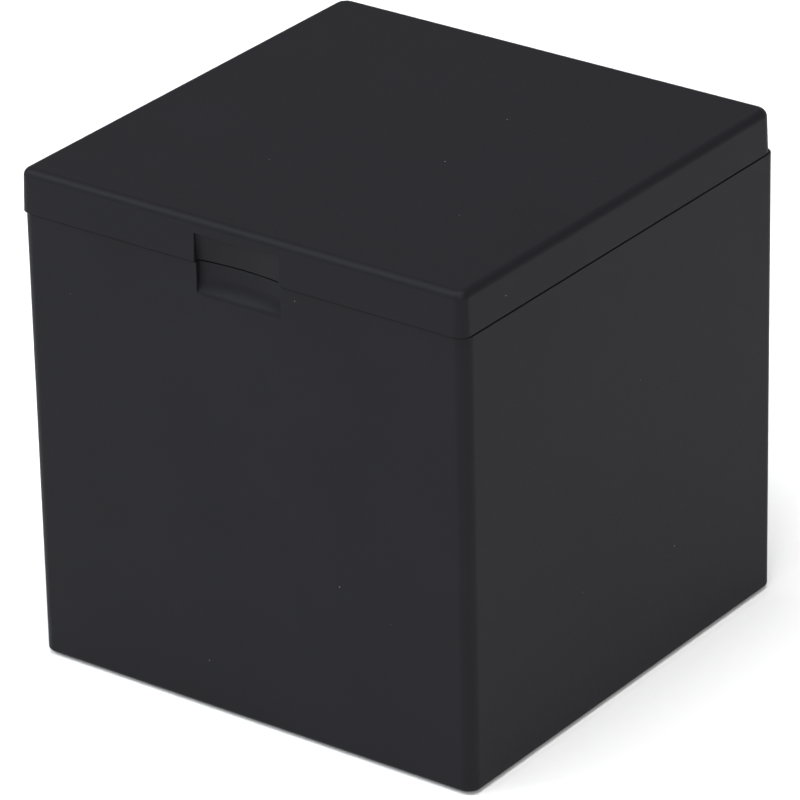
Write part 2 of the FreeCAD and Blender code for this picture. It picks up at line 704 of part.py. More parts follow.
def make_main_board():
    body = new_body("main_board")
    length = "(board_rear - board_front)"
    block(body, "board_slab", 0, "(board_rear + board_front) / 2", "2 * board_half_width", length,
          BOARD_BOTTOM, "board_thick")
    round_edges(body, "board_corners", 1.5, is_upright_short)
    holes(body, "board_holes", board_screw_places(), BOARD_SCREW[0] + HOLE_PLAY, 0, FAR)
    return body


def make_pulse_capacitors():
    """Two cans lying side by side; together they feed the coil."""
    body = new_body("pulse_capacitors")
    height = plus(BOARD_TOP, "capacitor_radius")
    cans = new_sketch(body, "capacitor_cans", "XZ_Plane", minus("capacitor_front"))
    for middle in CAPACITOR_MIDDLES:
        circle(cans, middle, height, "capacitor_radius")
    pad(body, cans, "capacitor_length", backwards=True)
    ends = sorted({round(edge.BoundBox.YMin, 3) for edge in body.Shape.Edges})
    round_edges(body, "capacitor_rims", 1.0,
                lambda edge: edge.BoundBox.YLength < 1e-4 and round(edge.BoundBox.YMin, 3) in ends)
    return body


def make_battery_holder():
    body = new_body("battery_holder")
    length = "(cell_length + 2 * holder_end + 1)"
    middle = "(cell_front + cell_length / 2)"
    block(body, "holder_floor_slab", "cell_middle", middle, "holder_width", length, BOARD_TOP, "holder_floor")
    ends = new_sketch(body, "holder_ends", "XY_Plane", BOARD_TOP)
    for side in (minus(f"({length} - holder_end) / 2"), f"(({length} - holder_end) / 2)"):
        rectangle(ends, "cell_middle", plus(middle, side), "holder_width", "holder_end")
    pad(body, ends, "holder_height")
    return body


def make_battery_cell():
    body = new_body("battery_cell")
    height = plus(BOARD_TOP, "holder_floor + cell_radius")
    rod_along_y(body, "cell_can", "cell_middle", height, "cell_radius", "cell_front", "cell_length")
    rod_along_y(body, "cell_cap", "cell_middle", height, 2.8, "cell_front + cell_length", 0.4)
    return body


def make_heat_sink():
    body = new_body("heat_sink")
    block(body, "sink_back", "sink_middle", "sink_row", "sink_width", "sink_plate", BOARD_TOP, "sink_height")
    fins = new_sketch(body, "sink_fins", "XY_Plane", BOARD_TOP)
    row = plus("sink_row", "sink_plate / 2 + fin_depth / 2", -OVERLAP)
    for step in range(FIN_COUNT):
        centre = plus("sink_middle", f"{step - (FIN_COUNT - 1) / 2} * fin_pitch")
        rectangle(fins, centre, row, "fin_thick", "fin_depth")
    pad(body, fins, "sink_height")
    return body


def make_power_transistor():
    """Plastic block against the heat sink, on three legs."""
    body = new_body("power_transistor")
    row = plus("sink_row", "0 - sink_plate / 2 - transistor_thick / 2")
    block(body, "transistor_block", "sink_middle", row, "transistor_width", "transistor_thick",
          plus(BOARD_TOP, "transistor_lift"), "transistor_height")
    legs = new_sketch(body, "transistor_legs", "XY_Plane", BOARD_TOP)
    for step in (-1, 0, 1):
        rectangle(legs, plus("sink_middle", f"{step} * leg_pitch"), plus(row, -0.25), 0.9, 0.6)
    pad(body, legs, plus("transistor_lift", OVERLAP))
    return body


def make_transformer_core():
    """A ferrite frame with a middle leg."""
    body = new_body("transformer_core")
    frame = new_sketch(body, "core_frame", "XZ_Plane", "0 - core_front")
    middle = plus(BOARD_TOP, "core_lift + core_height / 2")
    rectangle(frame, "core_middle", middle, "core_width", "core_height")
    for side in ("0 - window_reach", "window_reach"):
        rectangle(frame, plus("core_middle", side), middle, "window_width", "window_height")
    pad(body, frame, "core_depth", backwards=True)
    return body


def make_transformer_winding():
    """A taped coil round the core's middle leg."""
    body = new_body("transformer_winding")
    row = "(core_front + core_depth / 2)"
    low = plus(BOARD_TOP, "core_lift + core_height / 2 - tape_height / 2")
    block(body, "tape_block", "core_middle", row, "tape_width", "tape_depth", low, "tape_height")
    round_edges(body, "tape_corners", 2.0, is_upright_short)
    leg_width = plus("2 * window_reach - window_width", OVERLAP)
    slot(body, "leg_way", "core_middle", row, leg_width, plus("core_depth", OVERLAP), 0, FAR)
    return body


def make_controller_chips():
    body = new_body("controller_chips")
    for name, x, y, width, depth, height in CHIPS:
        block(body, name, x, y, width, depth, BOARD_TOP, height)
    return body


def make_lead_connectors():
    """Two-way sockets for the coil leads and the lid switch leads."""
    body = new_body("lead_connectors")
    block(body, "coil_connector", *COIL_CONNECTOR, BOARD_TOP, CONNECTOR_HEIGHT)
    block(body, "switch_connector", *SWITCH_CONNECTOR, BOARD_TOP, CONNECTOR_HEIGHT)
    return body


def make_usb_socket():
    body = new_body("usb_socket")
    middle_z = plus(BOARD_TOP, "socket_height / 2")
    front = plus(REAR_INSIDE, -0.2)
    shell = new_sketch(body, "socket_shell", "XZ_Plane", minus(front))
    rectangle(shell, "inlet_reach", middle_z, "socket_width", "socket_height")
    pad(body, shell, "socket_length")
    mouth = new_sketch(body, "socket_mouth", "XZ_Plane", minus(front))
    rectangle(mouth, "inlet_reach", middle_z, "socket_width - 2 * socket_sheet",
              "socket_height - 2 * socket_sheet")
    pocket(body, mouth, "socket_length - 1")
    tongue = new_sketch(body, "socket_tongue", "XZ_Plane", minus(plus(front, -0.6)))
    rectangle(tongue, "inlet_reach", middle_z, 6.7, 0.7)
    pad(body, tongue, "socket_length - 1")
    return body


def make_button_switch():
    """Right-angle tactile switch with a bore for its plunger."""
    body = new_body("button_switch")
    block(body, "button_switch_block", "button_reach", 37.4, 7, 3.8, BOARD_TOP, 7.6)
    bore = new_sketch(body, "button_switch_bore", "XZ_Plane", "0 - 39.3")
    circle(bore, "button_reach", BUTTON_Z, 2.0)
    pocket(body, bore, 2.6)
    return body


def make_button_plunger():
    body = new_body("button_plunger")
    rod_along_y(body, "plunger_rod", "button_reach", BUTTON_Z, 1.7, 37.9, 2.0)
    return body


def make_start_button():
    body = new_body("start_button")
    inside, face = number(REAR_INSIDE), number(plus(REAR, "0 - button_sunk"))
    rod_along_y(body, "button_cap", "button_reach", BUTTON_Z, "button_radius", inside - 0.4,
                face - inside + 0.4)
    round_edges(body, "button_face_edge", 0.4,
                lambda edge: edge.BoundBox.YLength < 1e-4 and abs(edge.BoundBox.YMin - face) < 1e-4)
    rod_along_y(body, "button_flange", "button_reach", BUTTON_Z, "button_radius + 1.2", inside - 1.4, 1.1)
    rod_along_y(body, "button_stem_rod", "button_reach", BUTTON_Z, "button_stem", "stem_front",
                plus(inside - 1.3, "0 - stem_front"))
    return body


def make_light_pipe():
    body = new_body("light_pipe")
    inside = number(REAR_INSIDE)
    rod_along_y(body, "light_rod", "light_reach", BUTTON_Z, "light_radius", inside, number(REAR) - inside)
    rod_along_y(body, "light_head", "light_reach", BUTTON_Z, "light_radius + 0.7", inside - 0.9, 0.9)
    return body


def make_status_led():
    body = new_body("status_led")
    inside = number(REAR_INSIDE)
    rod_along_y(body, "led_body", "light_reach", BUTTON_Z, 1.5, inside - 5.0, 3.9)
    led_end = inside - 1.1
    round_edges(body, "led_dome", 1.2,
                lambda edge: edge.BoundBox.YLength < 1e-4 and abs(edge.BoundBox.YMin - led_end) < 1e-4)
    block(body, "led_legs", "light_reach", inside - 4.6, 2.4, 0.6, BOARD_TOP, "button_lift")
    return body


# ---- leads ----

def lead(corners):
    """A round lead along straight runs joined by tangent arcs of one radius."""
    edges = []
    start = corners[0]
    for before, corner, after in zip(corners, corners[1:], corners[2:]):
        back = (before - corner).normalize()
        on = (after - corner).normalize()
        cut = LEAD_BEND * math.tan((math.pi - back.getAngle(on)) / 2)
        middle_way = (back + on).normalize()
        centre_distance = math.hypot(LEAD_BEND, cut)
        arc_start, arc_end = corner + back * cut, corner + on * cut
        crown = corner + middle_way * (centre_distance - LEAD_BEND)
        edges.append(Part.LineSegment(start, arc_start).toShape())
        edges.append(Part.Arc(arc_start, crown, arc_end).toShape())
        start = arc_end
    edges.append(Part.LineSegment(start, corners[-1]).toShape())
    path = Part.Wire(edges)
    direction = corners[1] - corners[0]
    profile = Part.Wire([Part.Circle(corners[0], direction, number("lead_radius")).toShape()])
    tube = path.makePipeShell([profile], True, True)
    expected = path.Length * math.pi * number("lead_radius") ** 2
    if abs(tube.Volume - expected) > 0.02 * expected:
        raise RuntimeError(f"lead volume {tube.Volume:.2f}, expected {expected:.2f}")
    return tube


def lead_pair(label, route, spread):
    """Two leads side by side, from the part they feed down to their connector."""
    leads = [lead([corner + offset for corner in route]) for offset in (spread, spread * -1)]
    feature = doc.addObject("Part::Feature", label)
    feature.Label = label
    feature.Shape = Part.makeCompound(leads)
    feature.Placement = FreeCAD.Placement()
    pieces.append(feature)
    return feature


def make_coil_leads():
    winding_side = -number("winding_radius")
    beside_flange = -number("flange_radius") - 0.72
    low_turn = number(BAY_UNDERSIDE) + 5.0
    plug_x, plug_y = COIL_CONNECTOR[0], COIL_CONNECTOR[1]
    route = [FreeCAD.Vector(x, plug_y, z) for x, z in (
        (winding_side, low_turn), (beside_flange, low_turn), (beside_flange, 24.0), (plug_x, 21.0),
        (plug_x, number(BOARD_TOP) + CONNECTOR_HEIGHT))]
    return lead_pair("coil_leads", route, FreeCAD.Vector(0, LEAD_SPREAD, 0))


def make_switch_leads():
    beside_flange = number(plus(SHIFT, "flange_radius")) + 0.7
    switch_back = number("plunger_row + switch_depth / 2")
    plug_x, plug_y = SWITCH_CONNECTOR[0], SWITCH_CONNECTOR[1]
    route = [FreeCAD.Vector(plug_x, y, z) for y, z in (
        (switch_back, 71.5), (beside_flange, 71.5), (beside_flange, 25.0), (plug_y, 20.5),
        (plug_y, number(BOARD_TOP) + CONNECTOR_HEIGHT))]
    return lead_pair("switch_leads", route, FreeCAD.Vector(LEAD_SPREAD, 0, 0))


# ---- lid ----

def make_lid_shell():
    body = new_body("lid_shell")
    outer = new_sketch(body, "lid_outer", "XY_Plane", LID_BOTTOM)
    rectangle(outer, 0, LID_CENTRE, "cube_side", "cube_side")
    pad(body, outer, "lid_height", taper="0 - lid_taper")
    round_edges(body, "lid_corners", "lid_corner", lambda edge: is_upright(edge) and edge.CenterOfMass.y < 0)
    round_edges(body, "lid_rear_corners", "lid_rear_corner",
                lambda edge: is_upright(edge) and edge.CenterOfMass.y > 0)
    round_edges(body, "lid_upper_edge", "upper_edge", lies_at(number(plus(LID_BOTTOM, "lid_height"))))
    hollow_lid(body)
    cut_lid_hinge(body)
    cut_lid_recess(body)
    return body


def lid_front_inside():
    return plus(LID_CENTRE, "lid_wall - cube_side / 2")


def lid_rear_inside():
    """Inner face of the thick rear wall that holds the hinge pins."""
    return plus(AXIS_Y, "0 - pin_wall")


def hollow_lid(body):
    width = "(cube_side - 2 * lid_wall)"
    depth = plus(lid_rear_inside(), minus(lid_front_inside()))
    middle = f"({lid_rear_inside()} + {lid_front_inside()}) / 2"
    slot(body, "lid_inside", 0, middle, width, depth, LID_BOTTOM, "lid_height - lid_top")
    backing_middle = plus(lid_front_inside(), "backing / 2", -OVERLAP)
    block(body, "lid_backing", 0, backing_middle, "backing_width", plus("backing", 2 * OVERLAP), LID_BOTTOM,
          plus("lid_height - lid_top", OVERLAP))
    bosses = new_sketch(body, "liner_bosses", "XY_Plane", LINER_TOP)
    for x, y in liner_screw_places():
        circle(bosses, x, y, 2.8)
    pad(body, bosses, plus(LID_CEILING, minus(LINER_TOP), OVERLAP))
    holes(body, "liner_bores", liner_screw_places(), LINER_SCREW[0], LINER_TOP, LINER_SCREW[1] - 0.4)


def liner_screw_places():
    return four_corners("liner_screw_reach", "0 - liner_screw_reach", "liner_screw_reach")


def cut_lid_hinge(body):
    """Notches round the body's knuckles, bores for the pins and the channel that they slide in from."""
    inner_face = plus(AXIS_Y, "0 - knuckle_radius - knuckle_play")
    top = plus(AXIS_Z, "knuckle_radius + knuckle_play")
    notches = new_sketch(body, "knuckle_notches", "XY_Plane", LID_BOTTOM)
    depth = plus(REAR, 1, minus(inner_face))
    width = "knuckle_length + 2 * knuckle_play"
    for centre in (minus("hinge_reach"), "hinge_reach"):
        rectangle(notches, centre, plus(inner_face, f"{depth} / 2"), width, depth)
    pocket(body, notches, plus(top, minus(LID_BOTTOM)))
    bore = new_sketch(body, "pin_bores", "YZ_Plane", "0 - hinge_reach - pin_length / 2 - 0.2")
    circle(bore, AXIS_Y, AXIS_Z, "pin_radius + 0.02")
    pocket(body, bore, "2 * hinge_reach + pin_length + 0.4")
    depth = "(knuckle_radius + 1.3)"
    slot(body, "pin_channel", 0, plus(lid_rear_inside(), f"{depth} / 2 - 0.05"), channel_width(),
         plus(depth, OVERLAP), LID_BOTTOM, plus(AXIS_Z, 1.3, minus(LID_BOTTOM)))


def channel_width():
    """The channel spans between the inner ends of the two pins."""
    return "(2 * hinge_reach - pin_length - 2)"


def cut_lid_recess(body):
    """The upper half of the finger recess: deepest at the seam, shallower at its upper end."""
    lid_front = plus(LID_CENTRE, "0 - cube_side / 2")
    side = plus(FRONT, "recess_side_depth - recess_step")
    middle = plus(FRONT, "recess_mid_depth - recess_step")
    low = new_sketch(body, "recess_low_section", "XY_Plane", LID_BOTTOM)
    bay_outline(low, "recess_width / 2", side, middle, plus(lid_front, -1))
    high = new_sketch(body, "recess_high_section", "XY_Plane", plus(LID_BOTTOM, "recess_lid_height"))
    bay_outline(high, "recess_width / 2", plus(side, "0 - recess_lid_shallow"),
                plus(middle, "0 - recess_lid_shallow"), plus(lid_front, -1))
    feature = body.newObject("PartDesign::SubtractiveLoft", "lid_recess")
    feature.Profile = low
    feature.Sections = [high]
    feature.Ruled = True
    finish_feature(body, feature, adds=False)


def make_hinge_pins():
    body = new_body("hinge_pins")
    for side, centre in (("left", minus("hinge_reach")), ("right", "hinge_reach")):
        sketch = new_sketch(body, f"pin_{side}", "YZ_Plane", plus(centre, "0 - pin_length / 2"))
        circle(sketch, AXIS_Y, AXIS_Z, "pin_radius")
        pad(body, sketch, "pin_length")
    return body


def make_lid_liner():
    """Plate that closes the lid from below, with two catch tongues and two stops for the pins."""
    body = new_body("lid_liner")
    front = plus(lid_front_inside(), "liner_play")
    rear = plus(lid_rear_inside(), "0 - liner_play")
    depth = plus(rear, minus(front))
    width = "(cube_side - 2 * lid_wall - 2 * liner_play)"
    block(body, "liner_slab", 0, f"({front} + {rear}) / 2", width, depth, LINER_BOTTOM, "liner_thick")
    slot(body, "liner_notch", 0, plus(front, "backing / 2 - 1"), "backing_width + 2 * liner_play",
         "backing + 2", 0, FAR)
    tongues = new_sketch(body, "catch_tongues", "XY_Plane", plus(LINER_BOTTOM, "0 - tongue_length"))
    for centre in (minus("catch_reach"), "catch_reach"):
        rectangle(tongues, centre, "catch_row", "tongue_width - 1.6", "tongue_thick")
    pad(body, tongues, "tongue_length + 0.1")
    stops = new_sketch(body, "pin_stops", "XY_Plane", LINER_BOTTOM)
    stop_reach = f"({channel_width()} / 2 - 0.8)"
    for centre in (minus(stop_reach), stop_reach):
        rectangle(stops, centre, plus(rear, 1.2), 1.2, 2.8)
    pad(body, stops, 2.4)
    holes(body, "liner_holes", liner_screw_places(), LINER_SCREW[0] + HOLE_PLAY, 0, FAR)
    head_radius, head_height = LINER_SCREW[2], LINER_SCREW[3]
    holes(body, "liner_seats", liner_screw_places(), head_radius + HEAD_ROOM, 0,
          plus(LINER_BOTTOM, head_height))
    return body


def make_lid_pad():
    body = new_body("lid_pad")
    low = plus(LINER_BOTTOM, "0 - lid_pad_thick")
    discs(body, "pad_disc", [(0, SHIFT)], "lid_pad_radius", low, "lid_pad_thick")
    round_edges(body, "pad_edge", 1.0, lies_at(number(low)))
    return body


def make_catch_clips():
    """Bent spring strips in the deck: a plain front leg and a rear leg with a crest that grips the tongue."""
    body = new_body("catch_clips")
    top, bend, low = plus(DECK_TOP, -0.2), plus(DECK_TOP, -3.2), plus(DECK_TOP, -7.6)
    front_out = plus("catch_row", "0 - clip_half_mouth")
    rear_out = plus("catch_row", "clip_half_mouth")
    crest = plus("catch_row", "tongue_thick / 2 + clip_crest_gap")
    sheet = "clip_sheet"
    corners = [
        (front_out, top), (front_out, low), (rear_out, low), (rear_out, plus(bend, -2.2)),
        (plus(crest, sheet), bend), (rear_out, top), (plus(rear_out, minus(sheet)), top),
        (crest, bend), (plus(rear_out, minus(sheet)), plus(bend, -2.2)),
        (plus(rear_out, minus(sheet)), plus(low, sheet)), (plus(front_out, sheet), plus(low, sheet)),
        (plus(front_out, sheet), top)]
    for side, centre in (("left", minus("catch_reach")), ("right", "catch_reach")):
        strip = new_sketch(body, f"clip_{side}", "YZ_Plane", plus(centre, "0 - clip_width / 2"))
        outline(strip, corners)
        pad(body, strip, "clip_width")
    return body


def make_lid_switch():
    """Snap-action switch under the deck; the plunger presses its nub."""
    body = new_body("lid_switch")
    low = plus(DECK_BOTTOM, "cradle_wall - cradle_drop")
    block(body, "lid_switch_block", 0, "plunger_row", "switch_width", "switch_depth", low, "switch_height")
    discs(body, "lid_switch_nub", [(0, "plunger_row")], 0.9, plus(low, "switch_height", -OVERLAP), 0.3)
    return body


def make_switch_plunger():
    """Push rod through the deck; the lid holds it down, and it rises as the lid opens."""
    body = new_body("switch_plunger")
    centre = [(0, "plunger_row")]
    low = plus(DECK_BOTTOM, -3.6)
    tip = plus(LINER_BOTTOM, "0 - plunger_gap")
    discs(body, "plunger_shaft", centre, "plunger_radius", low, plus(tip, minus(low)))
    discs(body, "plunger_collar", centre, 2.6, plus(low, 1.2), 1.0)
    round_edges(body, "plunger_tip", 0.5, lies_at(number(tip)))
    return body


def make_all_screws():
    base_seat = plus(BASE_BOTTOM, CASE_SCREW[3] + 0.1)
    deck_seat = plus(DECK_TOP, -COUNTERSINK)
    liner_seat = plus(LINER_BOTTOM, LINER_SCREW[3])
    screws("base_screws", about_centre(POST), CASE_SCREW, base_seat, upwards=True)
    screws("deck_screws", about_centre(POST), CASE_SCREW, deck_seat, upwards=False)
    screws("board_screws", board_screw_places(), BOARD_SCREW, BOARD_TOP, upwards=False)
    screws("retainer_screws", retainer_screw_places(), RETAINER_SCREW, RETAINER_BOTTOM, upwards=True)
    screws("liner_screws", liner_screw_places(), LINER_SCREW, liner_seat, upwards=True)


def check_document():
    """Stop if any object failed, or any piece is missing, broken or shares a name."""
    doc.recompute()
    for item in doc.Objects:
        if "Invalid" in item.State or "Error" in item.State:
            raise RuntimeError(f"{item.Label} failed: {item.State}")
    for piece in pieces:
        if piece.Shape.isNull() or not piece.Shape.isValid():
            raise RuntimeError(f"{piece.Label} has no valid shape")
    labels = [piece.Label for piece in pieces]
    if len(set(labels)) != len(labels):
        raise RuntimeError("two pieces share a label")


def write_pieces():
    os.makedirs("parts", exist_ok=True)
    for piece in pieces:
        piece.Shape.exportStep(f"parts/{piece.Label}.step")
        print(f"{piece.Label:22s} solids {len(piece.Shape.Solids):2d} volume {piece.Shape.Volume:10.2f}")


fill_sheet()
make_body_shell()
make_base_plate()
make_foot_pads()
make_deck_plate()
make_bay_cup()
make_bay_cushion()
make_coil_bobbin()
make_copper_winding()
make_coil_retainer()
make_main_board()
make_pulse_capacitors()
make_battery_holder()
make_battery_cell()
make_heat_sink()
make_power_transistor()
make_transformer_core()
make_transformer_winding()
make_controller_chips()
make_lead_connectors()
make_usb_socket()
make_button_switch()
make_button_plunger()
make_start_button()
make_light_pipe()
make_status_led()
make_coil_leads()
make_switch_leads()
make_lid_shell()
make_hinge_pins()
make_lid_liner()
make_lid_pad()
make_catch_clips()
make_lid_switch()
make_switch_plunger()
make_all_screws()
check_document()
write_pieces()
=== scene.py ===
import bmesh
import bpy
import json
import math
from mathutils import Matrix, Vector


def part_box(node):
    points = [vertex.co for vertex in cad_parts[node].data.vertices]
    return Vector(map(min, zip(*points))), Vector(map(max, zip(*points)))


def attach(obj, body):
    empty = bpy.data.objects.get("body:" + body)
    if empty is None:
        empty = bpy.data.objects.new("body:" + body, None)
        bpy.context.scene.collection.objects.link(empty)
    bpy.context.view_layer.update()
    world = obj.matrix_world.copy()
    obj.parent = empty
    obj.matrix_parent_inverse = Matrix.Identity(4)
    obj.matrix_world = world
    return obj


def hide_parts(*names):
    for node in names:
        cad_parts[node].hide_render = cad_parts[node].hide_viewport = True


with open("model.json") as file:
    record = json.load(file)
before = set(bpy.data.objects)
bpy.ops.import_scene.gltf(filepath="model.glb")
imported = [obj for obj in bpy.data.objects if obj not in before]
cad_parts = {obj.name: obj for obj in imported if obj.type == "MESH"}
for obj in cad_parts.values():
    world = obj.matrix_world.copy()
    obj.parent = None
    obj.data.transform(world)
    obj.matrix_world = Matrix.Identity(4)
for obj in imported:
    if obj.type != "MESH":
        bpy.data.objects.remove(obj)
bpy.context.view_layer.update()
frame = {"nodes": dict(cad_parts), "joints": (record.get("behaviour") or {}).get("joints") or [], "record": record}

# Looks of the cube demagnetizer: a closed charcoal case, the soft lining of its watch bay and the
# fittings inside. Metres throughout; MM turns the named millimetre sizes into metres.
MM = 0.001

# ---- places read from the frame ----
SHELL_LOW, SHELL_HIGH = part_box("body_shell")
LID_LOW, LID_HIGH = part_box("lid_shell")
DECK_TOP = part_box("deck_plate")[1].z
SIDE = SHELL_HIGH.x - SHELL_LOW.x                  # width of the cube
HALF = SIDE / 2
BODY_Y = (SHELL_LOW.y + SHELL_HIGH.y) / 2          # middle of the body along Y
LID_Y = (LID_LOW.y + LID_HIGH.y) / 2               # middle of the lid along Y
FOOT = SHELL_LOW.z                                 # lower edge of the walls
SEAM_GAP = 0.3 * MM
RIM = LID_LOW.z - SEAM_GAP                         # top of the body's walls
LID_DROP = 0.07 * MM                               # the edge's rounding opens the seam that much again
LID_BOTTOM = LID_LOW.z - LID_DROP
LID_TOP = LID_HIGH.z

# ---- sizes of the shells ----
WALL = 2.6 * MM
CORNERS = (2.3 * MM,) * 4                          # upright edges of the body
LID_CORNERS = (2.8 * MM, 2.8 * MM, 2.0 * MM, 2.0 * MM)      # rear right, rear left, front left, front right
LOWER_EDGE = 0.5 * MM
RIM_EDGE = 0.12 * MM
LID_EDGE = 0.12 * MM
TOP_EDGE = 1.4 * MM
LID_WALL = 2.4 * MM
LID_PANEL = 2.2 * MM
DRAFT = math.tan(math.radians(2.0))
INNER_CORNERS = (0.4 * MM,) * 4
POST = 9.0 * MM                                    # width of the corner posts
POST_INSET = 2.2 * MM                              # deck above the posts
BASE_DROP = 4.7 * MM                               # main board above the posts' lower ends
SCREW_HOLE = 1.2 * MM                              # radius of the pilot holes for the case screws
SCREW_HOLE_DEPTH = 12.0 * MM
LINER_REACH = 35.5 * MM                            # liner screws from the middle
LINER_RISE = 0.2 * MM                              # liner above the lid's lower edge
LINER_THICK = 1.6 * MM
BOSS_RADIUS = 2.8 * MM
BOSS_BORE = 0.9 * MM
BOSS_BORE_DEPTH = 3.2 * MM
EDGE_BREAK = 0.14 * MM                             # small rounding of the shells' other edges
CUT_PAST = 1.0 * MM                                # how far a cutter runs past the face it cuts
SLIVER = 0.002 * MM                                # points closer than this are one point
CORNER_STEPS = 14                                  # facets round each upright corner

# ---- finger recess ----
RECESS_HALF = 8.5 * MM
RECESS_SIDE_DEPTH = 0.9 * MM
RECESS_MID_DEPTH = 1.6 * MM
RECESS_LID_HEIGHT = 5.1 * MM
RECESS_LID_SHALLOW = 0.65 * MM
RECESS_STEP = 0.15 * MM
RECESS_BODY_HEIGHT = 6.0 * MM
RAMP_RISE = 3.6 * MM
RAMP_LIP = 0.3                                     # share of the ramp in which it turns away from the front
BACKING = 1.6 * MM                                 # extra wall behind the recess
BACKING_HALF = 10.5 * MM
BACKING_BELOW = 2.6 * MM
CUTTER_AHEAD = 2.0 * MM
RECESS_OVERCUT = 0.015 * MM                        # lets the lip run out in front of the face

# ---- hinge ----
HINGE = next(joint for joint in frame["joints"] if joint["name"] == "lid_hinge")
AXIS_Y, AXIS_Z = HINGE["pos_m"][1], HINGE["pos_m"][2]
HINGE_REACH = 28.0 * MM
KNUCKLE_RADIUS = 1.75 * MM
KNUCKLE_HALF = 5.0 * MM
KNUCKLE_PLAY = 0.3 * MM
PIN_BORE = 1.05 * MM
RELIEF_RADIUS = 3.0 * MM
RELIEF_HALF = 44.2 * MM
KNUCKLE_SHOULDER = 5.0 * MM                        # below the rim
KNUCKLE_FOOT = 8.5 * MM
HINGE_WALL = 1.9 * MM                              # from the axis to the lid's hollow
PIN_REACH = 9.5 * MM                               # pin's far end from the knuckle's middle
PIN_FIT = 1.02 * MM
CHANNEL_INSET = 10.3 * MM
CHANNEL_FRONT, CHANNEL_REAR, CHANNEL_ABOVE = 2.4 * MM, 1.15 * MM, 1.3 * MM
NOTCH_PAST = 6.0 * MM

# ---- openings in the rear wall ----
OPENING_DEPTH = 4.0 * MM
SEAT_HALF, SEAT_CORNER, SEAT_DEPTH = (6.4 * MM, 3.4 * MM), 1.6 * MM, 1.2 * MM
SLOT_HALF, SLOT_CORNER = (4.87 * MM, 1.95 * MM), 1.4 * MM
ROUND_OPENINGS = {"start_button": 4.3 * MM, "light_pipe": 1.02 * MM}

# ---- screws: head height, shank radius ----
CASE_SCREW = (1.4 * MM, 1.2 * MM)
INNER_SCREW = (1.5 * MM, 1.2 * MM)
LINER_SCREW = (1.0 * MM, 0.9 * MM)
THREAD_PITCH = 0.8 * MM

# ---- coil, button, light and inlet ----
WINDING_INNER = 34.25 * MM
WINDING_TURNS = 32
BUTTON_CAP, BUTTON_FLANGE, BUTTON_STEM, BUTTON_EDGE = 4.0 * MM, 5.2 * MM, 1.5 * MM, 0.4 * MM
BUTTON_DISH = 0.35 * MM
FLANGE_FRONT, FLANGE_BACK = 0.3 * MM, 1.4 * MM     # from the inner face of the rear wall
TINY_EDGE = 0.1 * MM
LIGHT_RADIUS, LIGHT_HEAD, LIGHT_DOME = 1.0 * MM, 1.7 * MM, 0.3 * MM
INLET_SHEET = 0.3 * MM
TONGUE_HALF, TONGUE_CORNER = (3.35 * MM, 0.35 * MM), 0.2 * MM
CONTACT_HALF, CONTACT_CORNER = (0.13 * MM, 0.03 * MM), 0.02 * MM
CONTACTS, CONTACT_PITCH, CONTACT_RISE = 12, 0.5 * MM, 0.355 * MM

# ---- soft goods ----
SIMULATION_SCALE = 10.0                            # cloth is simulated this much larger than life
SIMULATION_FRAMES = 20
PRESSURE = 4.0
CUSHION_THICK, CUSHION_SHOULDER, CUSHION_CELL, CUSHION_SWELL = 8.2 * MM, 3.4 * MM, 1.6 * MM, 1.3 * MM
CUSHION_PLAY = 1.0 * MM                            # seam inside the CAD cushion's edge
CROWN = 0.7 * MM                                   # extra height of the cushion's middle
PIPING = 0.8 * MM
PIPING_OUT = 0.1 * MM
PAD_THICK, PAD_SHOULDER, PAD_CELL, PAD_SWELL = 2.1 * MM, 0.9 * MM, 0.8 * MM, 0.25 * MM
PAD_PLAY = 0.5 * MM
CHANNEL_IN, CHANNEL_WIDTH, CHANNEL_DEPTH = 3.5 * MM, 0.8 * MM, 0.45 * MM
STITCH, STITCH_GAP, THREAD, STITCH_HEIGHT = 1.7 * MM, 0.7 * MM, 0.14 * MM, 0.78 * MM

# ---- small rounded edges of the CAD nodes that stay ----
EDGE_WIDTHS = {"base_plate": 0.2 * MM, "foot_pads": 0.1 * MM, "deck_plate": 0.15 * MM, "bay_cup": 0.12 * MM,
               "lid_liner": 0.15 * MM, "coil_bobbin": 0.15 * MM, "main_board": 0.05 * MM,
               "battery_holder": 0.2 * MM, "heat_sink": 0.1 * MM, "transformer_core": 0.2 * MM,
               "lead_connectors": 0.2 * MM, "controller_chips": 0.1 * MM, "lid_switch": 0.04 * MM,
               "button_switch": 0.15 * MM, "power_transistor": 0.15 * MM}

# ---- room ----
# Brightness of the room by the sine of the elevation: a white horizon under a darker ceiling.
HORIZON_GLOW = ((0.0, 0.9), (0.2, 0.55), (0.45, 0.3), (0.8, 0.16))
FLOOR_HALF = 3.0


# ---- camera ----

def set_camera():
    """The photographed view: a long lens from the front right, somewhat above, turned slightly."""
    azimuth, elevation, roll = (math.radians(angle) for angle in (36.54, 25.99, -1.215))
    distance, aside, below = 1.0063, -0.00087, -0.00326
    back = Vector((math.sin(azimuth) * math.cos(elevation), -math.cos(azimuth) * math.cos(elevation),
                   math.sin(elevation)))
    level = Vector((0, 0, 1)).cross(back).normalized()
    upward = back.cross(level)
    right = math.cos(roll) * level + math.sin(roll) * upward
    up = -math.sin(roll) * level + math.cos(roll) * upward
    data = bpy.data.cameras.new("photo_camera")
    data.lens = 267.7
    data.sensor_width = 36.0
    data.clip_end = 20.0
    camera = bpy.data.objects.new("photo_camera", data)
    bpy.context.scene.collection.objects.link(camera)
    middle = Vector((0, 0, FOOT + SIDE / 2))
    place = middle + back * distance + right * aside + up * below
    turn = Matrix((right, up, back)).transposed().to_4x4()
    camera.matrix_world = Matrix.Translation(place) @ turn
    bpy.context.scene.camera = camera


# ---- mesh helpers ----

def add_object(name, mesh):
    piece = bpy.data.objects.new(name, mesh)
    bpy.context.scene.collection.objects.link(piece)
    return piece


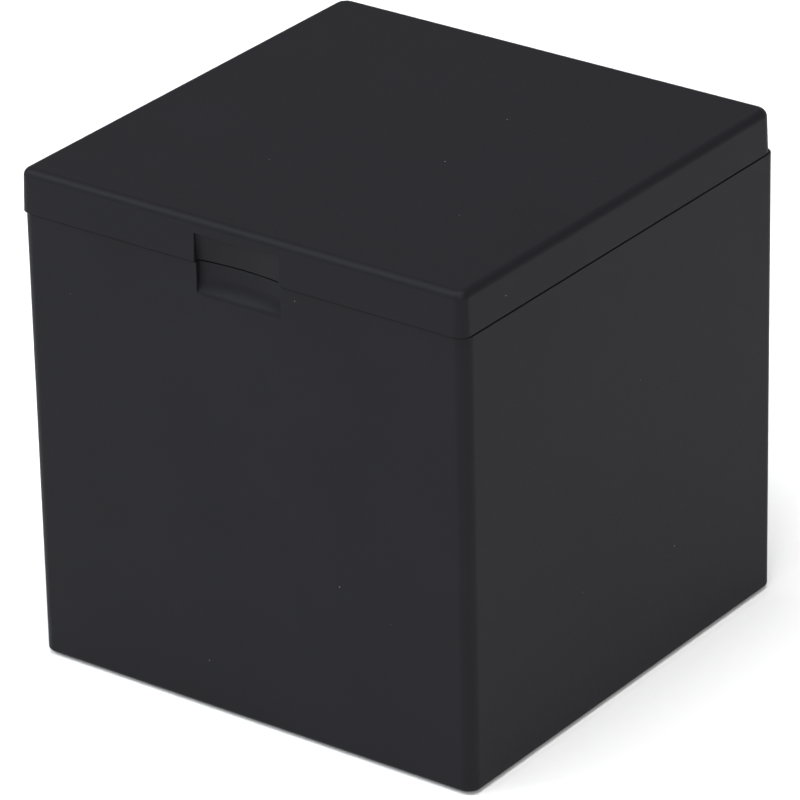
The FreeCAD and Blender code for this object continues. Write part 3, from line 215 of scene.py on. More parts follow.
def mesh_from(name, points, faces):
    mesh = bpy.data.meshes.new(name)
    mesh.from_pydata(points, [], faces)
    mesh.validate()
    mesh.update()
    fix = bmesh.new()
    fix.from_mesh(mesh)
    bmesh.ops.recalc_face_normals(fix, faces=fix.faces)
    fix.to_mesh(mesh)
    fix.free()
    return mesh


def loft(name, rings, closed=False):
    """Skin through rings of equally many points; closed joins the last ring to the first, else both ends
    are capped."""
    count = len(rings[0])
    points = [point for ring in rings for point in ring]
    faces = []
    spans = len(rings) if closed else len(rings) - 1
    for i in range(spans):
        low, high = i * count, ((i + 1) % len(rings)) * count
        for j in range(count):
            k = (j + 1) % count
            faces.append((low + j, low + k, high + k, high + j))
    if not closed:
        faces.append(tuple(range(count)))
        faces.append(tuple(range((len(rings) - 1) * count, len(rings) * count)))
    return add_object(name, mesh_from(name, points, faces))


def rounded_ring(half_x, half_y, radii, middle_y, z, steps=CORNER_STEPS):
    """A level ring in the outline of a rectangle with round corners, from the rear right one on."""
    ring = []
    for corner, (side_x, side_y) in enumerate(((1, 1), (-1, 1), (-1, -1), (1, -1))):
        radius = max(radii[corner], 0.02 * MM)
        centre_x, centre_y = side_x * (half_x - radius), middle_y + side_y * (half_y - radius)
        for step in range(steps + 1):
            angle = math.pi / 2 * (corner + step / steps)
            ring.append((centre_x + radius * math.cos(angle), centre_y + radius * math.sin(angle), z))
    return ring


def block(name, low, high):
    """A plain box, used only to cut or join other pieces."""
    rings = []
    for z in (low[2], high[2]):
        rings.append([(low[0], low[1], z), (high[0], low[1], z), (high[0], high[1], z), (low[0], high[1], z)])
    return loft(name, rings)


def rod(name, start, end, radius, sides=48):
    """A straight round rod, used to cut or join other pieces."""
    start, end = Vector(start), Vector(end)
    axis = (end - start).normalized()
    across = axis.orthogonal().normalized()
    over = axis.cross(across)
    rings = []
    for centre in (start, end):
        rings.append([centre + radius * (math.cos(turn) * across + math.sin(turn) * over)
                      for turn in (2 * math.pi * i / sides for i in range(sides))])
    return loft(name, rings)


def combine(target, other, operation):
    """Boolean of two objects, kept in the first; the second goes."""
    modifier = target.modifiers.new("combine", "BOOLEAN")
    modifier.operation = operation
    modifier.solver = "EXACT"
    modifier.object = other
    depsgraph = bpy.context.evaluated_depsgraph_get()
    mesh = bpy.data.meshes.new_from_object(target.evaluated_get(depsgraph))
    target.modifiers.clear()
    target.data = mesh
    bpy.data.objects.remove(other)


def cut(target, other):
    combine(target, other, "DIFFERENCE")


def join(target, other):
    combine(target, other, "UNION")


def soft_edges(piece, width, segments=3, angle=30):
    """Small rounded edges with smooth shading across them."""
    clean = bmesh.new()
    clean.from_mesh(piece.data)
    bmesh.ops.remove_doubles(clean, verts=clean.verts, dist=SLIVER)
    bmesh.ops.dissolve_degenerate(clean, edges=clean.edges, dist=SLIVER)
    clean.to_mesh(piece.data)
    clean.free()
    piece.data.polygons.foreach_set("use_smooth", [True] * len(piece.data.polygons))
    bevel = piece.modifiers.new("soft_edges", "BEVEL")
    bevel.width = width
    bevel.segments = segments
    bevel.limit_method = "ANGLE"
    bevel.angle_limit = math.radians(angle)
    bevel.miter_outer = "MITER_ARC"
    bevel.harden_normals = True
    tidy = piece.modifiers.new("tidy", "WELD")
    tidy.merge_threshold = SLIVER
    normals = piece.modifiers.new("face_normals", "WEIGHTED_NORMAL")
    normals.keep_sharp = True


# ---- shells ----

def recess_cutter(name, levels, front, depth_at):
    """A solid that fills the recess from well in front of the face to its back."""
    columns = 28
    xs = [RECESS_HALF * (2 * i / columns - 1) for i in range(columns + 1)]
    ahead = front - CUTTER_AHEAD
    rings = []
    for z in levels:
        back = [(x, front + depth_at(x, z), z) for x in xs]
        rings.append(back + [(RECESS_HALF, ahead, z), (-RECESS_HALF, ahead, z)])
    return loft(name, rings)


def hollow(x):
    """Depth of the recess across its width: a shallow arc, deepest in the middle."""
    sagitta = RECESS_MID_DEPTH - RECESS_SIDE_DEPTH
    radius = (RECESS_HALF ** 2 + sagitta ** 2) / (2 * sagitta)
    return RECESS_MID_DEPTH - radius + math.sqrt(radius ** 2 - x ** 2)


def body_recess_depth(x, z):
    """The lower end turns away from the front face in a soft lip and curves into the back."""
    rise, full = z - (RIM - RECESS_BODY_HEIGHT), hollow(x)
    lip = RAMP_LIP * RAMP_RISE
    steepest = 2 * full / RAMP_RISE
    if rise <= lip:
        depth = steepest * max(rise, 0.0) ** 2 / (2 * lip)
    elif rise < RAMP_RISE:
        depth = full - steepest * (RAMP_RISE - rise) ** 2 / (2 * (RAMP_RISE - lip))
    else:
        depth = full
    return depth - RECESS_OVERCUT


def lid_recess_depth(x, z):
    """Measured from the lid's lower front edge; the hollow leans forward towards its upper end."""
    share = (z - LID_BOTTOM) / RECESS_LID_HEIGHT
    return hollow(x) + (BODY_Y - LID_Y) - RECESS_STEP - RECESS_LID_SHALLOW * share


def steps_between(low, high, count):
    return [low + (high - low) * i / count for i in range(count + 1)]


def inset_radii(radii, inset):
    return [radius - inset for radius in radii]


def fillet_ring(half, radius, radii, middle_y, edge_z, upwards, steps=6):
    """Rings round an outer edge: they run from the side wall to the level face."""
    rings = []
    for step in range(steps + 1):
        angle = math.pi / 2 * step / steps
        inset = radius * (1 - math.cos(angle))
        rise = radius * math.sin(angle)
        z = edge_z - radius + rise if upwards else edge_z + radius - rise
        rings.append(rounded_ring(half - inset, half - inset, inset_radii(radii, inset), middle_y, z))
    return rings


def make_case_shell():
    inner = HALF - WALL
    low_edge = fillet_ring(HALF, LOWER_EDGE, CORNERS, BODY_Y, FOOT, upwards=False)
    rim_outside = fillet_ring(HALF, RIM_EDGE, CORNERS, BODY_Y, RIM, upwards=True, steps=5)
    rings = list(reversed(low_edge)) + rim_outside
    rings.append(rounded_ring(inner, inner, INNER_CORNERS, BODY_Y, RIM))
    rings.append(rounded_ring(inner, inner, INNER_CORNERS, BODY_Y, FOOT))
    shell = loft("case_shell", rings, closed=True)
    add_posts(shell, inner)
    front = BODY_Y - HALF
    low = RIM - RECESS_BODY_HEIGHT
    join(shell, block("backing", (-BACKING_HALF, front + WALL - 0.2 * MM, low - BACKING_BELOW),
                      (BACKING_HALF, front + WALL + BACKING, RIM - 0.001 * MM)))
    relief = rod("relief", (-RELIEF_HALF, AXIS_Y, AXIS_Z), (RELIEF_HALF, AXIS_Y, AXIS_Z), RELIEF_RADIUS, 96)
    cut(shell, relief)
    add_knuckles(shell)
    levels = steps_between(low, low + RAMP_RISE, 22) + [RIM + CUT_PAST]
    cut(shell, recess_cutter("body_recess", levels, front, body_recess_depth))
    cut_rear(shell)
    soft_edges(shell, EDGE_BREAK)
    finish_piece(shell, "case", "case_plastic", "body_shell")
    return shell


def add_posts(shell, inner):
    """Corner posts with screw holes at both ends."""
    deck_low = DECK_TOP - POST_INSET
    base_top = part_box("main_board")[0].z - BASE_DROP
    for side_x in (-1, 1):
        for side_y in (-1, 1):
            outer = inner + 0.5 * MM
            xs = sorted((side_x * (inner - POST), side_x * outer))
            ys = sorted((BODY_Y + side_y * (inner - POST), BODY_Y + side_y * outer))
            join(shell, block("post", (xs[0], ys[0], base_top), (xs[1], ys[1], deck_low)))
            x, y = side_x * (inner - POST / 2), BODY_Y + side_y * (inner - POST / 2)
            for low, high in ((base_top - CUT_PAST, base_top + SCREW_HOLE_DEPTH),
                              (deck_low - SCREW_HOLE_DEPTH, deck_low + CUT_PAST)):
                cut(shell, rod("hole", (x, y, low), (x, y, high), SCREW_HOLE, 24))


def add_knuckles(shell):
    for side in (-1, 1):
        left = side * HINGE_REACH - KNUCKLE_HALF
        profile = [(AXIS_Y - KNUCKLE_RADIUS, RIM - KNUCKLE_SHOULDER), (AXIS_Y, RIM - KNUCKLE_FOOT),
                   (AXIS_Y + KNUCKLE_RADIUS, RIM - KNUCKLE_FOOT)]
        profile += arc_points(AXIS_Y, AXIS_Z, KNUCKLE_RADIUS, 0, 180, 24)
        rings = [[(x, y, z) for y, z in profile] for x in (left, left + 2 * KNUCKLE_HALF)]
        join(shell, loft("knuckle", rings))
    cut(shell, rod("bore", (-RELIEF_HALF, AXIS_Y, AXIS_Z), (RELIEF_HALF, AXIS_Y, AXIS_Z), PIN_BORE))


def pill(name, centre_x, centre_z, half_x, half_z, radius, near, far):
    """A prism along Y with a rounded rectangle for its outline."""
    rings = []
    for y in (near, far):
        flat = rounded_ring(half_x, half_z, (radius,) * 4, centre_z, 0, steps=8)
        rings.append([(centre_x + x, y, z) for x, z, _ in flat])
    return loft(name, rings)


def cut_rear(shell):
    """Charging inlet with the sunk seat for its plug, button hole and light hole."""
    rear = BODY_Y + HALF
    x, _, z = middle_of("usb_socket")
    cut(shell, pill("seat", x, z, *SEAT_HALF, SEAT_CORNER, rear - SEAT_DEPTH, rear + CUT_PAST))
    cut(shell, pill("slot", x, z, *SLOT_HALF, SLOT_CORNER, rear - OPENING_DEPTH, rear + CUT_PAST))
    for node, radius in ROUND_OPENINGS.items():
        x, _, z = middle_of(node)
        cut(shell, rod("hole", (x, rear - OPENING_DEPTH, z), (x, rear + CUT_PAST, z), radius))


def make_lid_shell():
    height = LID_TOP - LID_BOTTOM
    rings = []
    for step in range(6):
        angle = math.pi / 2 * step / 5
        inset = LID_EDGE * (1 - math.sin(angle))
        rings.append(rounded_ring(HALF - inset, HALF - inset, inset_radii(LID_CORNERS, inset), LID_Y,
                                  LID_BOTTOM + LID_EDGE * (1 - math.cos(angle))))
    for step in range(15):
        angle = math.pi / 2 * step / 14
        rise = height - TOP_EDGE * (1 - math.sin(angle))
        inset = DRAFT * rise + TOP_EDGE * (1 - math.cos(angle))
        rings.append(rounded_ring(HALF - inset, HALF - inset, inset_radii(LID_CORNERS, inset), LID_Y,
                                  LID_BOTTOM + rise))
    lid = loft("lid_cap", rings)
    hollow_lid(lid)
    cut_lid_hinge(lid)
    levels = [LID_BOTTOM - CUT_PAST, LID_BOTTOM, LID_BOTTOM + RECESS_LID_HEIGHT]
    cut(lid, recess_cutter("lid_recess", levels, LID_Y - HALF, lid_recess_depth))
    soft_edges(lid, EDGE_BREAK)
    finish_piece(lid, "lid", "case_plastic", "lid_shell")
    return lid


def hollow_lid(lid):
    front, rear = LID_Y - HALF + LID_WALL, AXIS_Y - HINGE_WALL
    half_x, ceiling = HALF - LID_WALL, LID_TOP - LID_PANEL
    cavity = [rounded_ring(half_x, (rear - front) / 2, (0.8 * MM,) * 4, (front + rear) / 2, z)
              for z in (LID_BOTTOM - CUT_PAST, ceiling)]
    cut(lid, loft("cavity", cavity))
    join(lid, block("backing", (-BACKING_HALF, front - 0.2 * MM, LID_BOTTOM + 0.001 * MM),
                    (BACKING_HALF, front + BACKING, ceiling + 0.2 * MM)))
    liner_top = LID_LOW.z + LINER_RISE + LINER_THICK
    for x in (-LINER_REACH, LINER_REACH):
        for y in (-LINER_REACH, LINER_REACH):
            join(lid, rod("boss", (x, y, liner_top), (x, y, ceiling + 0.2 * MM), BOSS_RADIUS, 32))
            cut(lid, rod("bore", (x, y, liner_top - CUT_PAST), (x, y, liner_top + BOSS_BORE_DEPTH),
                         BOSS_BORE, 20))


def cut_lid_hinge(lid):
    inner = AXIS_Y - KNUCKLE_RADIUS - KNUCKLE_PLAY
    half = KNUCKLE_HALF + KNUCKLE_PLAY
    for side in (-1, 1):
        middle = side * HINGE_REACH
        cut(lid, block("notch", (middle - half, inner, LID_BOTTOM - CUT_PAST),
                       (middle + half, AXIS_Y + NOTCH_PAST, AXIS_Z + KNUCKLE_RADIUS + KNUCKLE_PLAY)))
    pin_end = HINGE_REACH + PIN_REACH
    cut(lid, rod("pin_bore", (-pin_end, AXIS_Y, AXIS_Z), (pin_end, AXIS_Y, AXIS_Z), PIN_FIT, 32))
    channel_half = HINGE_REACH - CHANNEL_INSET
    cut(lid, block("channel", (-channel_half, AXIS_Y - CHANNEL_FRONT, LID_BOTTOM - CUT_PAST),
                   (channel_half, AXIS_Y + CHANNEL_REAR, AXIS_Z + CHANNEL_ABOVE)))


# ---- fittings ----

def clusters(node, key):
    """Boxes of a CAD node's separate solids, told apart by a key made from each vertex's place."""
    groups = {}
    for vertex in frame["nodes"][node].data.vertices:
        groups.setdefault(key(vertex.co), []).append(vertex.co)
    boxes = []
    for places in groups.values():
        low = Vector([min(place[i] for place in places) for i in range(3)])
        high = Vector([max(place[i] for place in places) for i in range(3)])
        boxes.append((low, high))
    return boxes


def by_quarter(place):
    return place.x > 0, place.y > BODY_Y


def by_third(place):
    return int(((math.atan2(place.y - BODY_Y, place.x) - math.pi / 6) / (2 * math.pi / 3)) % 3)


def lathe(name, profile, steps=72, closed=False):
    """Turn a profile of (radius, height) about Z; an open profile starts and ends on the axis."""
    points, faces, rows = [], [], []
    for radius, height in profile:
        if radius == 0:
            rows.append([len(points)])
            points.append((0, 0, height))
        else:
            rows.append(list(range(len(points), len(points) + steps)))
            for step in range(steps):
                turn = 2 * math.pi * step / steps
                points.append((radius * math.cos(turn), radius * math.sin(turn), height))
    pairs = list(zip(rows, rows[1:]))
    if closed:
        pairs.append((rows[-1], rows[0]))
    for low, high in pairs:
        for step in range(steps):
            following = (step + 1) % steps
            if len(low) == 1:
                faces.append((low[0], high[following], high[step]))
            elif len(high) == 1:
                faces.append((low[step], low[following], high[0]))
            else:
                faces.append((low[step], low[following], high[following], high[step]))
    return add_object(name, mesh_from(name, points, faces))


def place_mesh(piece, matrix):
    piece.data.transform(matrix)


def copies(name, source, matrices):
    """One piece from several placed copies of a mesh; the source goes."""
    joined = bmesh.new()
    for matrix in matrices:
        start = len(joined.verts)
        joined.from_mesh(source.data)
        joined.verts.ensure_lookup_table()
        bmesh.ops.transform(joined, matrix=matrix, verts=joined.verts[start:])
    mesh = bpy.data.meshes.new(name)
    joined.to_mesh(mesh)
    joined.free()
    bpy.data.objects.remove(source)
    return add_object(name, mesh)


def arc_points(centre_r, centre_z, radius, start, end, steps):
    """Points of an arc in a lathe profile, angles in degrees from the radial direction."""
    turns = [math.radians(start + (end - start) * i / steps) for i in range(steps + 1)]
    return [(centre_r + radius * math.cos(turn), centre_z + radius * math.sin(turn)) for turn in turns]


def screw_mesh(shank_radius, head_radius, head_height, shank_length):
    """A pan head screw with its seat at height 0, head up: domed head, cross recess, ridged shank."""
    profile = [(0, -shank_length), (shank_radius * 0.55, -shank_length + 0.3 * MM)]
    low = -shank_length + 1.5 * THREAD_PITCH
    ridges = int((shank_length - 2.5 * THREAD_PITCH) / THREAD_PITCH)
    for ridge in range(ridges):
        foot = low + ridge * THREAD_PITCH
        profile += [(shank_radius * 0.78, foot), (shank_radius, foot + THREAD_PITCH / 2)]
    profile += [(shank_radius * 0.78, low + ridges * THREAD_PITCH), (shank_radius * 0.85, 0)]
    edge = head_height * 0.35
    profile += [(head_radius - 0.12 * MM, 0), (head_radius, 0.12 * MM)]
    for share in steps_between(0, 1, 8):
        turn = share * math.pi / 2
        profile.append((head_radius * (0.72 + 0.28 * math.cos(turn)),
                        head_height - edge - 0.1 * MM + (edge + 0.02 * MM) * math.sin(turn)))
    profile += [(head_radius * 0.35, head_height - 0.02 * MM), (0, head_height)]
    screw = lathe("screw", profile, 48)
    for quarter in (0, 1):
        wing, slim = head_radius * 0.5, head_radius * 0.12
        rings = []
        for level, share in ((head_height - 0.75 * MM, 0.35), (head_height + 0.3 * MM, 1.05)):
            half_x, half_y = (wing * share, slim) if quarter == 0 else (slim, wing * share)
            rings.append([(half_x, half_y, level), (-half_x, half_y, level), (-half_x, -half_y, level),
                          (half_x, -half_y, level)])
        cut(screw, loft("wing", rings))
    return screw


def make_screws(node, body, key, head_height, shank_radius, heads_up):
    """Screws in the places of a CAD node's solids."""
    boxes = clusters(node, key)
    low, high = boxes[0]
    head_radius = (high.x - low.x) / 2
    length = high.z - low.z
    source = screw_mesh(shank_radius, head_radius, head_height, length - head_height)
    matrices = []
    for number, (low, high) in enumerate(boxes):
        seat = high.z - head_height if heads_up else low.z + head_height
        turn = Matrix.Rotation(math.radians(17 + 41 * number), 4, "Z")
        flip = Matrix.Identity(4) if heads_up else Matrix.Rotation(math.pi, 4, "X")
        place = Matrix.Translation(((low.x + high.x) / 2, (low.y + high.y) / 2, seat))
        matrices.append(place @ flip @ turn)
    piece = copies(node.replace("screws", "pan_screws"), source, matrices)
    soft_edges(piece, 0.03 * MM, 2, 40)
    finish_piece(piece, body, "screw_steel", node)


def make_winding():
    """Layers of wound wire: the outer side shows the turns of the last layer."""
    low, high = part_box("copper_winding")
    outer, height = (high.x - low.x) / 2, high.z - low.z
    wire = height / WINDING_TURNS / 2
    profile = [(WINDING_INNER, 0)]
    for turn in range(WINDING_TURNS):
        centre = (2 * turn + 1) * wire
        profile += arc_points(outer - wire, centre, wire, -80, 80, 5)
    profile.append((WINDING_INNER, height))
    winding = lathe("wound_wire", profile, 96, closed=True)
    place_mesh(winding, Matrix.Translation((0, BODY_Y, low.z)))
    soft_shading(winding)
    finish_piece(winding, "case", "winding_copper", "copper_winding")


def soft_shading(piece):
    piece.data.polygons.foreach_set("use_smooth", [True] * len(piece.data.polygons))


def towards_rear(x, z):
    """Matrix that turns a lathed piece's axis to +Y, through the given place on the rear face."""
    return Matrix.Translation((x, 0, z)) @ Matrix.Rotation(-math.pi / 2, 4, "X")


def middle_of(node):
    low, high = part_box(node)
    return (low + high) / 2


def make_start_button():
    """Round push button: dished face with a soft edge, flange and stem behind the wall."""
    low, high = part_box("start_button")
    centre = middle_of("start_button")
    inside = BODY_Y + HALF - WALL
    front, back = inside - FLANGE_FRONT, inside - FLANGE_BACK
    profile = [(0, low.y), (BUTTON_STEM - TINY_EDGE, low.y), (BUTTON_STEM, low.y + TINY_EDGE),
               (BUTTON_STEM, back), (BUTTON_FLANGE - TINY_EDGE, back), (BUTTON_FLANGE, back + TINY_EDGE),
               (BUTTON_FLANGE, front - TINY_EDGE), (BUTTON_FLANGE - TINY_EDGE, front), (BUTTON_CAP, front)]
    profile += arc_points(BUTTON_CAP - BUTTON_EDGE, high.y - BUTTON_EDGE, BUTTON_EDGE, 0, 90, 6)
    dish = BUTTON_CAP - BUTTON_EDGE - BUTTON_DISH
    for share in steps_between(0, 1, 10):
        radius = dish * (1 - share)
        profile.append((radius, high.y - BUTTON_DISH * (1 - (radius / dish) ** 2) ** 0.8))
    button = lathe("push_button", profile, 96)
    place_mesh(button, towards_rear(centre.x, centre.z))
    soft_edges(button, 0.05 * MM, 2, 40)
    finish_piece(button, "button", "button_plastic", "start_button")


def make_light_pipe():
    """Clear rod with a head behind the wall and a low dome outside."""
    low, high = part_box("light_pipe")
    centre = middle_of("light_pipe")
    inside = BODY_Y + HALF - WALL
    profile = [(0, low.y), (LIGHT_HEAD, low.y), (LIGHT_HEAD, inside), (LIGHT_RADIUS, inside)]
    sphere = (LIGHT_RADIUS ** 2 + LIGHT_DOME ** 2) / (2 * LIGHT_DOME)
    for share in steps_between(1, 0, 8):
        rim = LIGHT_RADIUS * share
        profile.append((rim, high.y - sphere + math.sqrt(sphere ** 2 - rim ** 2)))
    pipe = lathe("light_window", profile, 48)
    place_mesh(pipe, towards_rear(centre.x, centre.z))
    soft_edges(pipe, 0.04 * MM, 2, 40)
    finish_piece(pipe, "case", "light_acrylic", "light_pipe")


def make_charging_inlet():
    """Sheet metal socket with round ends, and the plastic tongue with its contacts inside."""
    low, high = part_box("usb_socket")
    x, _, z = middle_of("usb_socket")
    half_x, half_z = (high.x - low.x) / 2, (high.z - low.z) / 2
    shell = pill("inlet_shell", x, z, half_x, half_z, half_z - 0.05 * MM, low.y, high.y)
    half_x, half_z = half_x - INLET_SHEET, half_z - INLET_SHEET
    cut(shell, pill("mouth", x, z, half_x, half_z, half_z - 0.05 * MM, low.y + 1.0 * MM, high.y + CUT_PAST))
    soft_edges(shell, 0.06 * MM, 2)
    finish_piece(shell, "case", "socket_steel", "usb_socket")
    tongue = pill("inlet_tongue", x, z, *TONGUE_HALF, TONGUE_CORNER, low.y + 0.9 * MM, high.y - 0.7 * MM)
    soft_edges(tongue, 0.05 * MM, 2)
    finish_piece(tongue, "case", "holder_plastic")
    contact = pill("contact", 0, 0, *CONTACT_HALF, CONTACT_CORNER, low.y + 3 * MM, high.y - 0.9 * MM)
    first = x - (CONTACTS - 1) / 2 * CONTACT_PITCH
    matrices = [Matrix.Translation((first + step * CONTACT_PITCH, 0, z + side * CONTACT_RISE))
                for step in range(CONTACTS) for side in (-1, 1)]
    finish_piece(copies("inlet_contacts", contact, matrices), "case", "pin_steel")


# ---- soft goods ----

def remesh(piece, voxel):
    """Even, closed mesh of small cells, which the cloth needs."""
    modifier = piece.modifiers.new("even_cells", "REMESH")
    modifier.mode = "VOXEL"
    modifier.voxel_size = voxel
    keep_result(piece)


def keep_result(piece):
    """The modifiers' result becomes the mesh, and the modifiers go."""
    depsgraph = bpy.context.evaluated_depsgraph_get()
    mesh = bpy.data.meshes.new_from_object(piece.evaluated_get(depsgraph))
    piece.modifiers.clear()
    piece.data = mesh


def fill_out(piece, held, cap):
    """Blow the closed fabric out from inside by cloth simulation. Points that held() picks stay where they
    are sewn, and no point moves further than cap. The piece is simulated at SIMULATION_SCALE."""
    start = [vertex.co.copy() for vertex in piece.data.vertices]
    sewn = piece.vertex_groups.new(name="sewn")
    sewn.add([number for number, place in enumerate(start) if held(place)], 1.0, "REPLACE")
    cloth = piece.modifiers.new("cloth", "CLOTH")
    cloth.settings.vertex_group_mass = "sewn"
    cloth.settings.use_pressure = True
    cloth.settings.uniform_pressure_force = PRESSURE
    cloth.settings.effector_weights.gravity = 0.0
    scene = bpy.context.scene
    for step in range(SIMULATION_FRAMES):
        scene.frame_set(step + 1)
    keep_result(piece)
    scene.frame_set(1)
    for vertex, place in zip(piece.data.vertices, start):
        move = vertex.co - place
        if move.length > cap:
            vertex.co = place + move * (cap / move.length)
    piece.vertex_groups.clear()


def stuffed_disc(name, radius, thickness, shoulder, voxel, cap):
    """A round pad with its seam at mid height: simulated large, then brought to its real size. Its middle
    lies at the origin."""
    half = thickness / 2
    profile = [(0, -half), (radius * 0.5, -half)]
    profile += arc_points(radius - shoulder, shoulder - half, shoulder, -90, 0, 8)
    profile += arc_points(radius - shoulder, half - shoulder, shoulder, 0, 90, 8)
    profile += [(radius * 0.5, half), (0, half)]
    pad = lathe(name, profile, 96)
    place_mesh(pad, Matrix.Scale(SIMULATION_SCALE, 4))
    remesh(pad, voxel * SIMULATION_SCALE)
    seam_radius, seam_height = (radius - 0.8 * voxel) * SIMULATION_SCALE, 0.6 * voxel * SIMULATION_SCALE
    fill_out(pad, lambda place: place.xy.length > seam_radius and abs(place.z) < seam_height,
             cap * SIMULATION_SCALE)
    place_mesh(pad, Matrix.Scale(1 / SIMULATION_SCALE, 4))
    return pad


def sew_groove(pad, radius, width, depth):
    """Press a stitched channel into both faces of a pad, a ring of the given radius."""
    for vertex in pad.data.vertices:
        away = (vertex.co.xy.length - radius) / width
        vertex.co.z -= math.copysign(depth * math.exp(-away ** 2), vertex.co.z)


def twisted_cord(name, ring_radius, cord_radius, strands=3, twists=40, sections=480, sides=18):
    """Piping: strands laid round each other, closed to a ring about Z."""
    rings = []
    for section in range(sections):
        turn = 2 * math.pi * section / sections
        ring = []
        for side in range(sides):
            around = 2 * math.pi * side / sides
            lobe = cord_radius * (0.86 + 0.14 * math.cos(strands * around + twists * turn))
            reach = ring_radius + lobe * math.cos(around)
            ring.append((reach * math.cos(turn), reach * math.sin(turn), lobe * math.sin(around)))
        rings.append(ring)
    cord = loft(name, rings, closed=True)
    soft_shading(cord)
    return cord


def stitches(name, ring_radius, height, length, gap, thread):
    """Short stitches in a ring, each a thread that dips in at both ends."""
    count = int(2 * math.pi * ring_radius / (length + gap))
    rings = []
    for share in steps_between(-1, 1, 8):
        size = thread * math.sqrt(max(1 - share ** 4, 0.04))
        ring = []
        for side in range(8):
            around = math.pi / 4 * side
            ring.append((share * length / 2, size * math.cos(around),
                         size * math.sin(around) - 0.6 * thread * share ** 2))
        rings.append(ring)
    stitch = loft("stitch", rings)
    soft_shading(stitch)
    matrices = [Matrix.Rotation(2 * math.pi * number / count, 4, "Z")
                @ Matrix.Translation((0, ring_radius, height)) for number in range(count)]
    return copies(name, stitch, matrices)


def make_bay_cushion():
    """Round cushion on the floor of the watch bay: crowned, flat below, corded round its seam."""
    low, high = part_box("bay_cushion")
    middle = (low + high) / 2
    radius = (high.x - low.x) / 2
    seam = radius - CUSHION_PLAY
    cushion = stuffed_disc("cushion", seam, CUSHION_THICK, CUSHION_SHOULDER, CUSHION_CELL, CUSHION_SWELL)
    floor = low.z - middle.z + 0.02 * MM
    for vertex in cushion.data.vertices:
        reach = vertex.co.xy.length
        if vertex.co.z > 0:
            vertex.co.z += CROWN * max(1 - (reach / seam) ** 2, 0.0)
        vertex.co.z = min(max(vertex.co.z, floor), -floor)
    place_mesh(cushion, Matrix.Translation(middle))
    smooth_over(cushion)
    finish_piece(cushion, "case", "cushion_fabric", "bay_cushion")
    cord = twisted_cord("cushion_piping", seam + PIPING_OUT, PIPING)
    place_mesh(cord, Matrix.Translation(middle))
    finish_piece(cord, "case", "cushion_fabric")


def make_lid_pad():
    """Thin pad under the lid's liner, with a stitched channel just inside its edge."""
    low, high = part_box("lid_pad")
    middle = (low + high) / 2
    radius = (high.x - low.x) / 2
    pad = stuffed_disc("pad", radius - PAD_PLAY, PAD_THICK, PAD_SHOULDER, PAD_CELL, PAD_SWELL)
    channel = radius - CHANNEL_IN
    sew_groove(pad, channel, CHANNEL_WIDTH, CHANNEL_DEPTH)
    reach = (high.z - low.z) / 2 - 0.01 * MM
    for vertex in pad.data.vertices:
        vertex.co.z = min(max(vertex.co.z, -reach), reach)
    place_mesh(pad, Matrix.Translation(middle))
    smooth_over(pad)
    finish_piece(pad, "lid", "pad_foam", "lid_pad")
    thread = stitches("pad_stitches", channel, STITCH_HEIGHT, STITCH, STITCH_GAP, THREAD)
    place_mesh(thread, Matrix.Translation(middle) @ Matrix.Rotation(math.pi, 4, "X"))
    finish_piece(thread, "lid", "pad_foam")


def smooth_over(piece):
    soft_shading(piece)
    rounder = piece.modifiers.new("rounder", "SUBSURF")
    rounder.levels = rounder.render_levels = 1


# ---- materials ----

def new_material(name, colour, roughness, specular=0.5, metallic=0.0):
    material = bpy.data.materials.new(name)
    material.use_nodes = True
    tree = material.node_tree
    shader = tree.nodes["Principled BSDF"]
    shader.inputs["Base Color"].default_value = (*colour, 1)
    shader.inputs["Roughness"].default_value = roughness
    shader.inputs["Specular IOR Level"].default_value = specular
    shader.inputs["Metallic"].default_value = metallic
    return material, tree, shader


def object_place(tree):
    return tree.nodes.new("ShaderNodeTexCoord").outputs["Object"]


def noise(tree, place, scale, detail=3.0, roughness=0.5):
    node = tree.nodes.new("ShaderNodeTexNoise")
    node.inputs["Scale"].default_value = scale
    node.inputs["Detail"].default_value = detail
    node.inputs["Roughness"].default_value = roughness
    tree.links.new(place, node.inputs["Vector"])
    return node.outputs["Fac"]


def remap(tree, value, low, high, to_low, to_high):
    node = tree.nodes.new("ShaderNodeMapRange")
    for socket, setting in zip(("From Min", "From Max", "To Min", "To Max"), (low, high, to_low, to_high)):
        node.inputs[socket].default_value = setting
    tree.links.new(value, node.inputs["Value"])
    return node.outputs["Result"]


def ramp_colours(tree, value, stops):
    node = tree.nodes.new("ShaderNodeValToRGB")
    while len(node.color_ramp.elements) < len(stops):
        node.color_ramp.elements.new(0.5)
    for element, (position, colour) in zip(node.color_ramp.elements, stops):
        element.position = position
        element.color = (*colour, 1)
    tree.links.new(value, node.inputs["Fac"])
    return node.outputs["Color"]


def bump(tree, shader, height, distance, strength=1.0):
    node = tree.nodes.new("ShaderNodeBump")
    node.inputs["Distance"].default_value = distance
    node.inputs["Strength"].default_value = strength
    tree.links.new(height, node.inputs["Height"])
    tree.links.new(node.outputs["Normal"], shader.inputs["Normal"])


def shade(colour, factor):
    return tuple(channel * factor for channel in colour)


